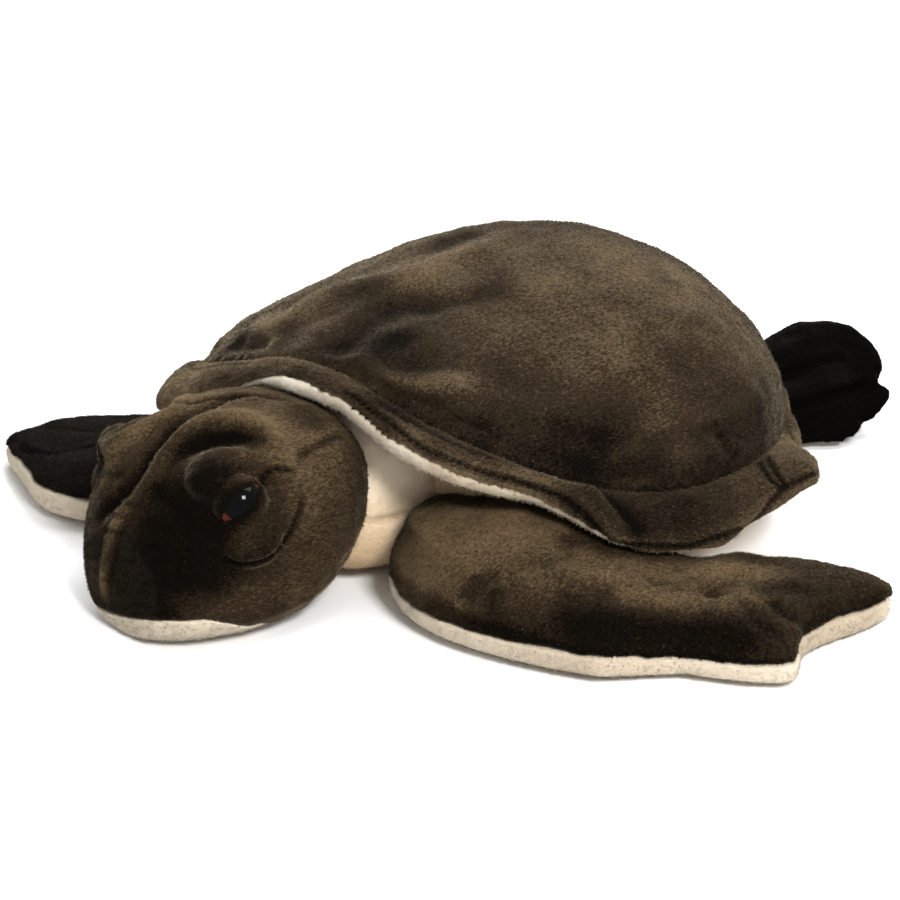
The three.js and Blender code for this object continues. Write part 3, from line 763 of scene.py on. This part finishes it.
# painted shade in the quilted lines, and painted light on the hind ridge
strokes(far_front, AS_DRAWN, [(line, 3.6, 1.5, -0.5, 0.15, 5) for line in FAR_QUILTING])
for node, side in zip(HIND_FLIPPERS, BOTH_SIDES):
    quilting = [(line, 5.5, 2.6, -0.9, 0.12) for line in HIND_QUILTING]
    strokes(flippers[node], [side], [*quilting, (HIND_RIDGE, 9, -1.2, 0.5, 0.2)])
for k, flipper in enumerate(flippers.values()):
    flipper.push(0.5 * waves(flipper.points, 30, seed=40 + k))
NECK_CREASE = [(44, -120, 34), (47, -104, 33), (51, -88, 33), (53, -70, 33)]
# painted shade in the neck's crease
strokes(neck, BOTH_SIDES, [(NECK_CREASE, 3, 1.6, -0.5)])

# %% [markdown]
# ## Painted shade on steep sides
# The same pile looks light where it was stroked away from you and nearly black where it stands
# against you. On a toy that has been handled, this makes large soft patches. They are part of
# the shade number, and so is painted shade: the steep sides of the shell and of the front
# flipper are painted darker, as they turn away from the light. The rim's steep edge, and most
# of all the roll under it, get painted light, as if lit from the pale table.

# %% Painted shade on steep sides
def paint_steep_shade(panel, amount, low=0.2, high=0.8):
    """Paints shade on steep sides; a negative amount paints light there."""
    panel.shade -= amount * ramp(high, low, panel.normals()[:, 2])


PATCH_CORE = 0.3  # share of a patch's radius that is evenly brushed


def brush(panel, centre, radius, amount):
    """Lightens, or with a negative amount darkens, a soft round patch."""
    gap = np.linalg.norm(panel.points - centre, axis=1)
    panel.shade += amount * ramp(radius, PATCH_CORE * radius, gap)


paint_steep_shade(shell, 0.5)
paint_steep_shade(rim, -0.5)
rim.shade += 0.8 * ramp(0.1, -0.4, rim.normals()[:, 2])  # painted light: the roll under its edge is lighter still, as if lit from the table
paint_steep_shade(front, 0.7, 0.15, 0.72)
print("shell pile from", shell.shade.min().round(1), "to", shell.shade.max().round(1))

# %% [markdown]
# ## Patches and tones
# Each row of a table is one soft patch: its middle, its radius, and how much lighter or darker
# it is. The patches are partly brushed pile and partly painted light and shade. A wide stroke
# with no depth paints a band: FRONT_SHADOW is a painted shadow low on the front flipper, and
# FRONT_LIGHT painted light along it. The face has most of its patches on both sides alike and a
# few on one side only. The front of the snout, between its two seams, was stroked down, and its
# pile, pointing at the eye, is painted dark. Last, whole pieces get their own tone.

# %% Patches and tones
SHELL_PATCHES = [  # x, y, z, radius, lighter or darker by; partly brushed pile, partly painted light and shade
    (100, -64, 80, 45, -0.1), (128, -22, 62, 30, 0.2), (60, -80, 92, 30, 0.15),
    (70, -20, 112, 70, 0.55), (4, -33, 121, 30, 0.5), (95, 20, 105, 50, 0.1), (110, 60, 90, 55, 0.35),
    (132, -2, 72, 30, 0.3), (113, 24, 94, 20, -0.2), (124, 70, 63, 28, -0.6), (27, 27, 128, 50, 0.45),
    (50, 60, 123, 45, 0.25), (-69, -79, 96, 50, -0.15), (-20, -92, 99, 45, 0.4),
    (-60, -90, 93, 24, 0.5), (-45, -70, 105, 22, 0.5), (-88, -84, 86, 24, -0.8),
    (-58, -43, 109, 24, -0.2), (75, -50, 101, 24, -0.25), (113, -46, 74, 26, -0.4),
    (-18, -18, 121, 34, 0.45), (0, 6, 127, 26, 0.25), (7, -98, 97, 18, -0.35), (16, -77, 107, 18, -0.3),
    (36, -79, 102, 14, 0.4), (-39, -91, 98, 18, -0.35), (68, 59, 115, 42, 0.4),
]
RIM_PATCHES = [
    (-68, -117, 77, 60, 0.35), (-85, -119, 68, 26, 0.75), (-41, -121, 79, 18, -0.3),
    (-34, -111, 91, 24, 0.2), (93, -104, 73, 16, 0.45), (130, -60, 52, 26, -0.7),
    (152, -40, 38, 32, -0.5), (145, 68, 46, 38, 0.6), (71, -111, 80, 16, 0.3), (-12, -114, 97, 18, 0.4),
    (142, -9, 48, 24, -0.3), (130, 86, 44, 24, 0.4),
]
FRONT_PATCHES = [
    (92, -112, 38, 48, 1.1), (137, -88, 36, 30, 0.3), (184, -58, 27, 30, 0.2), (205, -5, 24, 30, 0.1),
    (150, -112, 14, 40, -0.3), (110, -76, 45, 26, 0.85), (212, -16, 24, 22, -0.3),
    (80, -121, 27, 24, 0.5), (136, -110, 30, 18, 0.4), (112, -115, 35, 16, -0.25),
    (176, -26, 27, 24, 0.6),
]
# painted shade on the front flipper's lining where the key lamp lights it most; on the rim's lining, painted
# shade on its turned side and painted light at the front; painted light on the neck
FLIPPER_LINING_SHADE = [(205, -15, 12, 50, -1.2), (160, -100, 10, 60, -0.4)]
RIM_LINING_LIGHT_AND_SHADE = [(108, -88, 62, 50, -1.6), (-1, -123, 89, 30, 0.8)]
NECK_LIGHT = [(46, -98, 40, 26, 0.8)]
FACE_PATCHES = [
    (35, -138, 84, 45, 0.8), (55, -145, 31, 40, 0.45), (50, -190, 22, 26, 0.1),
    (25, -130, 85, 15, -0.7), (52, -132, 60, 35, -0.2), (57, -177, 55, 18, -0.2),
    (22, -210, 48, 15, -0.4), (33, -208, 36, 12, -0.5), (18, -201, 62, 18, -0.6),
    (54, -155, 60, 18, 0.25), (54, -184, 40, 14, -0.35), (8, -158, 88, 20, 0.3),
    (50, -166, 67, 14, -0.25),
]
ONE_SIDED_PATCHES = [
    (-24, -190, 74, 24, 0.35), (-12, -172, 84, 28, 0.25), (-30, -200, 57, 30, 0.85),
    (-5, -204, 62, 12, 0.35), (-14, -214, 20, 15, 0.8), (57, -178, 52, 17, -0.1),
]
FACE_BAND = [(35, -194, 74), (36, -196, 66), (38, -197, 57), (41, -199, 48), (44, -199, 39)]
FRONT_LIGHT = [
    [(124, -84, 41), (143, -72, 34), (154, -55, 30), (166, -36, 28), (180, -20, 27), (197, -1, 25)],
    [(156, -88, 29), (168, -76, 28), (180, -60, 27), (192, -46, 27), (204, -34, 26)],
]
FRONT_SHADOW = [
    (146, -112, 22), (154, -108, 23), (168, -101, 22), (184, -83, 20), (203, -68, 19), (221, -59, 18),
    (228, -50, 18),
]
for x, y, z, radius, amount in FACE_PATCHES:
    for side in BOTH_SIDES:
        brush(head, side((x, y, z)), radius, amount)
# the snout's stroked-down front: pile pointing at the eye, painted dark
across = np.abs(head.points[:, 0] - 1)
low = ramp(66, 34, head.points[:, 2])
head.shade -= 0.85 * low * ramp(38, 24, across) * ramp(-194, -205, head.points[:, 1])
# painted light on the snout's ridge
stroke(head, SNOUT_RIDGE, 7, -0.6, shade=0.6)
strokes(head, BOTH_SIDES, [(FACE_BAND, 19, 0, -1.1, 0)])
for panel, patches in (
    (head, ONE_SIDED_PATCHES), (shell, SHELL_PATCHES), (rim, RIM_PATCHES), (front, FRONT_PATCHES),
    (undersides["flipper_front_left"], FLIPPER_LINING_SHADE), (rim_lining, RIM_LINING_LIGHT_AND_SHADE), (neck, NECK_LIGHT),
):
    for x, y, z, radius, amount in patches:
        brush(panel, (x, y, z), radius, amount)
strokes(front, AS_DRAWN, [(FRONT_SHADOW, 17, 0, -0.95), *[(line, 18, 0, 0.7, 0.15) for line in FRONT_LIGHT]])
# painted light: the top of the neck, in the rim's shadow, is lighter
neck.shade += 1.2 * ramp(38, 52, neck.points[:, 2])
# whole-piece tones: the far front flipper a little lighter, the hind flippers more painted shade
far_front.shade += 0.25
for node in HIND_FLIPPERS:
    flippers[node].shade -= 0.9
print("head pile from", head.shade.min().round(1), "to", head.shade.max().round(1))

# %% [markdown]
# ## A flat map
# An export bakes each material into a flat picture, so every tuft needs its place there. The map
# has six charts, one for each way that cloth can look, and a tuft gets a small patch of the
# chart, at the spot where its root is.

# %% Flat map
def box_unwrap(points, normals, low, high):
    """A flat map of a form: six charts, one for each way that its surface can look."""
    axis = np.abs(normals).argmax(1)
    sign = normals[np.arange(len(normals)), axis] > 0
    share = (points - low) / np.maximum(high - low, 1e-6)
    others = np.array(((1, 2), (0, 2), (0, 1)))[axis]
    rows = np.arange(len(points))
    inside = np.stack([share[rows, others[:, 0]], share[rows, others[:, 1]]], 1)
    cell = np.stack([axis, sign.astype(int)], 1)
    return (cell + 0.04 + 0.92 * np.clip(inside, 0, 1)) / (3, 2)

# %% [markdown]
# ## The pile
# Up close plush is a field of short hairs that lean one way. Hair systems don't survive an
# export, so the pile is a real mesh: each tuft is a thin closed spike with three sides. Its
# root is drawn at random on the cloth, its lean follows the nap, and neighbours lean together
# because a slow random field turns them. A tuft also carries two numbers for the material:
# how near the tip each corner is, and the shade of the cloth that it grows from. Where the pile
# is dark, its tufts differ more, because some tips still catch the light.

# %% Planting the pile
TUFT_FACES = np.array([(0, 2, 1), (0, 1, 3), (1, 2, 3), (2, 0, 3)])
TUFT_PATCH = np.array(((-0.5, -0.4), (0.5, -0.4), (0.0, 0.1), (0.0, 0.5))) * 0.003  # on the flat map
ROOT_DEPTH = 0.3  # millimetres of a tuft under the cloth
CLUMPS, FLECKS = 0.35, 0.25  # how far neighbours turn together, and each tuft by itself
LEAN_FLECKS, LEAN_CLUMPS = 0.16, 0.14  # the same for the lean, in radians
LEAN_LEAST, LEAN_MOST = 0.2, 1.35
LENGTHS, WIDTHS = (0.75, 1.2), (0.8, 1.2)  # from and to, as shares of the panel's own
TINTS, MORE_TINTS = 0.14, 0.25  # how much tufts differ in shade, and how much more in the dark


def plant(panel, amount, length, width, lean, nap, seed):
    """Tufts on the parts of a panel that aren't bare, as arrays for one mesh."""
    random = np.random.default_rng(seed)
    triangles = np.vstack([panel.faces[:, [0, 1, 2]], panel.faces[:, [0, 2, 3]]])
    a, b, c = (panel.points[triangles[:, k]] for k in range(3))
    area = np.linalg.norm(np.cross(b - a, c - a), axis=1) / 2
    area *= np.clip(1 - panel.bare[triangles].mean(1), 0, 1)
    chosen = random.choice(len(area), amount, p=area / area.sum())
    u, v = random.random((2, amount))
    fold = u + v > 1
    u[fold], v[fold] = 1 - u[fold], 1 - v[fold]
    weights = np.stack([1 - u - v, u, v], 1)
    corners = triangles[chosen]
    roots = (panel.points[corners] * weights[..., None]).sum(1)
    normals = unit((panel.normals()[corners] * weights[..., None]).sum(1))
    shade = (panel.shade[corners] * weights).sum(1)

    flow = unit(nap) + CLUMPS * np.stack(
        [waves(roots, 7, seed + k) + 0.8 * waves(roots, 2.6, seed + 9 + k) for k in range(3)], 1
    )
    flow += FLECKS * random.normal(size=flow.shape)
    flow = unit(flow - normals * (flow * normals).sum(1, keepdims=True))
    tilt = np.radians(lean) + LEAN_FLECKS * random.normal(size=amount)
    tilt += LEAN_CLUMPS * waves(roots, 4, seed + 31)
    tilt = np.clip(tilt, LEAN_LEAST, LEAN_MOST)[:, None]
    direction = normals * np.cos(tilt) + flow * np.sin(tilt)
    aside = unit(np.cross(direction, flow + 0.3 * normals))
    long = (length * random.uniform(*LENGTHS, amount))[:, None]
    wide = (width * random.uniform(*WIDTHS, amount))[:, None]
    foot = roots - ROOT_DEPTH * normals
    bottom = [foot - aside * wide, foot + aside * wide, foot - np.cross(aside, direction) * wide]
    points = np.stack([*bottom, roots + direction * long], 1)
    faces = TUFT_FACES[None] + 4 * np.arange(amount)[:, None, None]
    uneven = TINTS + MORE_TINTS * np.clip(0.1 - shade, 0, 1)
    tint = shade + uneven * random.normal(size=amount)

    flat = box_unwrap(roots, normals, panel.points.min(0), panel.points.max(0))
    charts = flat[:, None] + TUFT_PATCH
    return {
        "points": points.reshape(-1, 3),
        "faces": faces.reshape(-1, 3),
        "tip": np.tile((0.0, 0.0, 0.0, 1.0), amount),
        "shade": np.repeat(tint, 4),
        "lie": np.repeat(normals, 4, axis=0),
        "map": charts[:, TUFT_FACES].reshape(-1, 2),
    }


# %% [markdown]
# ## From arrays to pieces
# Blender makes a mesh fastest when whole arrays are handed over at once. The same function
# makes the cloth of a panel and the pile on it, and writes the shade and tip numbers as mesh
# attributes that the materials read.

# %% Pieces
def piece_of(name, points, faces, material, **numbers):
    mesh = bpy.data.meshes.new(name)
    sides = faces.shape[1]
    mesh.vertices.add(len(points))
    mesh.vertices.foreach_set("co", (points * MM).astype(np.float32).ravel())
    mesh.loops.add(faces.size)
    mesh.loops.foreach_set("vertex_index", faces.astype(np.int32).ravel())
    mesh.polygons.add(len(faces))
    mesh.polygons.foreach_set("loop_start", np.arange(0, faces.size, sides, dtype=np.int32))
    mesh.polygons.foreach_set("use_smooth", np.ones(len(faces), bool))
    flat_map = numbers.pop("map", None)
    if flat_map is not None:
        layer = mesh.uv_layers.new(name="OFBake")
        layer.data.foreach_set("uv", flat_map.astype(np.float32).ravel())
    for word, values in numbers.items():
        values = np.asarray(values, np.float32)
        kind, slot = ("FLOAT", "value") if values.ndim == 1 else ("FLOAT_VECTOR", "vector")
        mesh.attributes.new(word, kind, "POINT").data.foreach_set(slot, values.ravel())
    mesh.update(calc_edges=True)
    mesh.validate()
    mesh.materials.append(material)
    piece = bpy.data.objects.new(name, mesh)
    bpy.context.collection.objects.link(piece)
    return piece


# %% [markdown]
# ## Shader nodes
# A material is a small network of nodes. Two helpers keep it readable: one adds a node with its
# settings, and one fills its inputs, each with a value or with another node's output.

# %% Shader nodes
def fill(tree, node, inputs):
    """Sets inputs of a node: each is a value, or another node's output to link."""
    for key, value in inputs.items():
        if isinstance(value, bpy.types.NodeSocket):
            tree.links.new(value, node.inputs[key])
        else:
            node.inputs[key].default_value = value


def add(tree, kind, inputs=(), **settings):
    """A new shader node with these settings and inputs."""
    node = tree.nodes.new("ShaderNode" + kind)
    for word, value in settings.items():
        setattr(node, word, value)
    fill(tree, node, dict(inputs))
    return node


def finish(name):
    """A new material, its node tree, and the shader in it."""
    material = bpy.data.materials.new(name)
    material.use_nodes = True
    return material, material.node_tree, material.node_tree.nodes["Principled BSDF"]


# %% [markdown]
# ## Plush
# Pile looks dark where it points at the eye and light where it is seen from the side, because
# light catches the tips. Three things give that here: painted shade on deep roots against lighter
# tips, the shader's sheen, and the real lean of the tufts. A slow noise mottles the colour, as
# hands have brushed the pile this way and that. The cloth under the tufts has the same colours
# with a fine bump, painted a little darker as shade under the pile.

# %% Plush material
ALONG_NAP = (1, 0.4, 1)  # the nap runs along Y, so the pattern is longer that way
BUMP_HEIGHT = 0.8 * MM
UNTOUCHED = 0.36  # tone of plain pile, from the root's colour at 0 to the tip's at 1
PATTERNS = [(30, 3, (1, 1, 1), 0.9), (200, 2, ALONG_NAP, 0.4), (1050, 1, ALONG_NAP, 1.6)]


def plush(name, root, middle, tip, sheen, glow=(0.28, 0.225, 0.15), mottle=0.5, bump=0.4):
    material, tree, shader = finish(name)
    place = add(tree, "TexCoord").outputs["Object"]

    def noise(scale, detail, roughness=0.5, squeeze=(1, 1, 1)):
        """A random pattern with this many waves to the metre, drawn out along the nap."""
        room = add(tree, "Mapping", {"Vector": place, "Scale": squeeze}).outputs["Vector"]
        grain = {"Vector": room, "Scale": scale, "Detail": detail, "Roughness": roughness}
        return add(tree, "TexNoise", grain).outputs["Fac"]

    def number(word):
        return add(tree, "Attribute", attribute_name=word).outputs["Fac"]

    def sum_of(a, share, b):
        """a x share + b, where b is a socket or a number."""
        return add(tree, "Math", {0: a, 1: share, 2: b}, operation="MULTIPLY_ADD").outputs[0]

    total = UNTOUCHED - 0.5 * mottle * sum(share for *_, share in PATTERNS)
    for scale, detail, squeeze, share in PATTERNS:
        total = sum_of(noise(scale, detail, squeeze=squeeze), share * mottle, total)
    total = sum_of(number("shade"), 0.5, total)
    # painted shade deep in the pile: roots darker, tips lighter
    total = sum_of(number("tip"), 0.25, total)
    colours = add(tree, "ValToRGB", {"Fac": total})
    stops = colours.color_ramp.elements
    stops[0].color, stops[1].color = (*root, 1), (*tip, 1)
    stops.new(0.5).color = (*middle, 1)

    lie = add(tree, "Attribute", attribute_name="lie").outputs["Vector"]
    surface = add(tree, "NewGeometry").outputs["Normal"]
    blend = add(tree, "Mix", {"Factor": 0.3}, data_type="VECTOR")
    fill(tree, blend, {4: lie, 5: surface})
    steady_normal = add(tree, "VectorMath", {0: blend.outputs[1]}, operation="NORMALIZE").outputs[0]
    grain = noise(800, 3, 0.7, ALONG_NAP)
    relief = {"Normal": steady_normal, "Strength": bump, "Distance": BUMP_HEIGHT, "Height": grain}
    fill(tree, shader, {
        "Base Color": colours.outputs["Color"],
        "Normal": add(tree, "Bump", relief).outputs["Normal"],
        "Roughness": 0.85,
        "Specular IOR Level": 0.02,
        "Sheen Weight": sheen,
        "Sheen Roughness": 0.32,
        "Sheen Tint": (*glow, 1),
    })
    print(name, len(tree.nodes), "nodes")
    return material


DARK_PLUSH = plush(
    "dark_plush", (0.0025, 0.0018, 0.0012), (0.021, 0.0138, 0.0078), (0.105, 0.074, 0.042), 0.9
)
WARM_PLUSH = plush(
    "dark_plush_warm", (0.0025, 0.0017, 0.001), (0.0215, 0.0137, 0.0073), (0.1, 0.068, 0.036), 0.85
)
# a darker copy of the dark plush with little sheen, for the far and hind flippers: their pile points at the
# eye, and that dark look and their shade are painted in
SHADED_DARK_PLUSH = plush(
    "dark_plush_brushed_down_and_shaded", (0.001, 0.0008, 0.0006), (0.005, 0.004, 0.003), (0.025, 0.02, 0.014), 0.03
)
CREAM_PLUSH = plush(
    "cream_plush", (0.36, 0.295, 0.215), (0.54, 0.47, 0.37), (0.66, 0.6, 0.5), 0.15, (1, 0.95, 0.85),
    mottle=0.3, bump=0.3,
)
# a shaded copy of the cream plush for the neck and belly: painted shade, warmed as by light bounced off the
# cream
SHADED_CREAM_PLUSH = plush(
    "cream_plush_in_shade", (0.38, 0.25, 0.13), (0.59, 0.44, 0.28), (0.74, 0.61, 0.45), 0.15,
    (1, 0.9, 0.75), mottle=0.3, bump=0.3,
)

# %% [markdown]
# ## The eyes
# A safety eye is one piece of polished plastic, a black pupil in a red-brown ring. It is smooth
# enough for a sharp highlight. The colour follows the angle from the middle of the pupil, with a
# fine noise, so that the ring's edge isn't ruled.

# %% Eyes
PUPIL_ANGLE = math.radians(55)
GAZE_TURN = 0.16  # the pupil looks a little back and up in its opening
EYE_STEPS = 48
PUPIL_BLACK, RING_DARK = (0.0008, 0.0008, 0.001), (0.07, 0.013, 0.007)
RING_RED, RING_EDGE = (0.12, 0.026, 0.013), (0.05, 0.012, 0.006)


def eye_material():
    material, tree, shader = finish("eye_plastic")
    place = add(tree, "TexCoord").outputs["Object"]
    streaks = add(tree, "TexNoise", {"Vector": place, "Scale": 700}).outputs["Fac"]
    angle = add(tree, "Attribute", attribute_name="angle").outputs["Fac"]
    wobble = add(tree, "Math", {0: streaks, 1: 0.05, 2: angle}, operation="MULTIPLY_ADD").outputs[0]
    colours = add(tree, "ValToRGB", {"Fac": wobble})
    stops = colours.color_ramp.elements
    stops[0].color, stops[1].color = (*PUPIL_BLACK, 1), (*RING_EDGE, 1)
    for stop, colour in ((0.5, PUPIL_BLACK), (0.54, RING_DARK), (0.7, RING_RED)):
        stops.new(stop).color = (*colour, 1)
    polish = {"Base Color": colours.outputs["Color"], "Roughness": 0.08, "Specular IOR Level": 0.12}
    fill(tree, shader, polish)
    return material


EYE_PLASTIC = eye_material()


def eye(name, side):
    """A ball whose poles lie on the line of sight, so that its rings follow the pupil."""
    outward, long, short = eye_axes(side)
    outward = unit(outward + GAZE_TURN * long)
    long = np.cross(short, outward)
    angles = np.linspace(0, np.pi, EYE_STEPS)
    turns = np.linspace(0, 2 * np.pi, 2 * EYE_STEPS, endpoint=False)
    rings = [
        outward * math.cos(a) + np.outer(np.cos(turns), long) * math.sin(a)
        + np.outer(np.sin(turns), short) * math.sin(a)
        for a in angles
    ]
    points = np.vstack(rings) * EYE_RADIUS + eye_centre(side)
    count = len(turns)
    here = np.arange(EYE_STEPS - 1)[:, None] * count + np.arange(count)
    beside = np.arange(EYE_STEPS - 1)[:, None] * count + (np.arange(count) + 1) % count
    faces = np.stack([here, here + count, beside + count, beside], 2).reshape(-1, 4)
    if side[0] < 0:
        faces = faces[:, ::-1]
    share = np.repeat(angles, count) / PUPIL_ANGLE / 2
    ball = piece_of(name, points, faces, EYE_PLASTIC, angle=share)
    trim = bmesh.new()
    trim.from_mesh(ball.data)
    bmesh.ops.remove_doubles(trim, verts=trim.verts, dist=0.001 * MM)
    bmesh.ops.recalc_face_normals(trim, faces=trim.faces)
    trim.to_mesh(ball.data)
    trim.free()
    return ball


for name, side in zip(("eye_left", "eye_right"), SIDES):
    ball = eye(name + "_ball", side)
    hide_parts(name)
    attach(ball, "root")

# %% [markdown]
# ## Dressing the toy
# Each panel becomes a piece, stands for its solid, and carries its own pile as a child, so the
# two always move together. The nap runs back from the snout over the head and shell, and out
# along each flipper.

# %% Dress
SHADE_UNDER_PILE = -0.05  # painted shade: the cloth under the pile is this much darker than the pile on it


def dress(panel, material, slot, fill, tufts, length, width, lean, nap, seed):
    """Makes the cloth and the pile of a panel."""
    piece = piece_of(
        panel.name, panel.points, panel.faces, material,
        shade=panel.shade + SHADE_UNDER_PILE, tip=np.zeros(len(panel.points)), lie=panel.normals(),
    )
    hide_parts(*[n for n in panel.nodes if not n.startswith("eye")])
    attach(piece, "root")
    pile = piece_of(
        panel.name + "_pile", material=material,
        **plant(panel, tufts, length, width, lean, nap, seed),
    )
    pile.parent = piece
    print(pile.name, tufts, "tufts")


DARK = (DARK_PLUSH, "dark_plush")
WARM = (WARM_PLUSH, "dark_plush")
SHADED_DARK = (SHADED_DARK_PLUSH, "dark_plush")
CREAM = (CREAM_PLUSH, "cream_plush")
SHADED_CREAM = (SHADED_CREAM_PLUSH, "cream_plush")
WARDROBE = [  # panel, look, fill, tufts, their length, width and lean in degrees, nap, seed
    (shell, DARK, 0.5, 49000, 1.7, 0.27, 64, (0.3, 1, -0.3), 100),
    (rim, DARK, 0.5, 46000, 1.6, 0.24, 60, (0.5, 1, -0.5), 200),
    (rim_lining, CREAM, 0.5, 14000, 1.6, 0.26, 45, (0, 1, -1), 300),
    (belly, SHADED_CREAM, 0.6, 4000, 1.5, 0.3, 45, (0, 1, 0), 400),
    (neck, SHADED_CREAM, 0.6, 9000, 1.3, 0.24, 50, (0, 1, -0.5), 500),
    (head, WARM, 0.8, 49000, 1.4, 0.22, 61, (0.1, 1, -0.35), 600),
    (chin, CREAM, 0.7, 8000, 1.3, 0.24, 50, (0, 1, 0), 700),
    (tail, DARK, 0.6, 6000, 1.7, 0.24, 55, (0, 1, -0.3), 800),
]
FLIPPER_LOOKS = [  # look, tufts, nap, seed
    (WARM, 40000, (0.7, -0.3, -0.6), 900), (SHADED_DARK, 25000, (-0.7, -0.3, -0.5), 950),
    (SHADED_DARK, 9000, (0.5, 0.8, -0.3), 1000), (SHADED_DARK, 9000, (-0.5, 0.8, -0.3), 1050),
]
for node, (look, tufts, nap, seed) in zip(flippers, FLIPPER_LOOKS):
    WARDROBE.append((flippers[node], look, 0.7, tufts, 1.6, 0.24, 60, nap, seed))
    WARDROBE.append((undersides[node], CREAM, 0.7, tufts // 5, 1.4, 0.24, 45, nap, seed + 20))
for panel, look, *row in WARDROBE:
    dress(panel, *look, *row)

# %% [markdown]
# ## Table and light
# A plain pale table and soft lamps, as in a small studio. The key lamp hangs above the camera
# and to its right, and is small enough to give the eye its highlight. A wide lamp overhead,
# towards the toy's back, makes the top lighter than the flanks, and the third lights the table
# behind. A white world fills the rest.

# %% Stage
bpy.ops.mesh.primitive_plane_add(size=14)
table = bpy.context.object
table.name = "table"
paint, paint_tree, paint_shader = finish("pale_table")
fill(paint_tree, paint_shader, {"Base Color": (0.9, 0.9, 0.9, 1), "Roughness": 0.9})
table.data.materials.append(paint)
table.visible_glossy = False  # else the eyes would mirror a bright table


def lamp(name, place, size, power):
    light = bpy.data.lights.new(name, "AREA")
    light.size = size
    light.energy = power
    set_up(name, light, place)


lamp("key_softbox", around(67, 37, 1.5), 0.36, 24)
lamp("overhead_softbox", around(150, 70, 1.5), 1.0, 16)
lamp("table_sweep", (-2.2, 2.6, 2.4), 2.5, 160)
world = bpy.data.worlds.new("studio")
world.use_nodes = True
fill(world.node_tree, world.node_tree.nodes["Background"], {"Color": (1, 1, 1, 1), "Strength": 0.6})
bpy.context.scene.world = world
bpy.context.scene.view_settings.view_transform = "Standard"
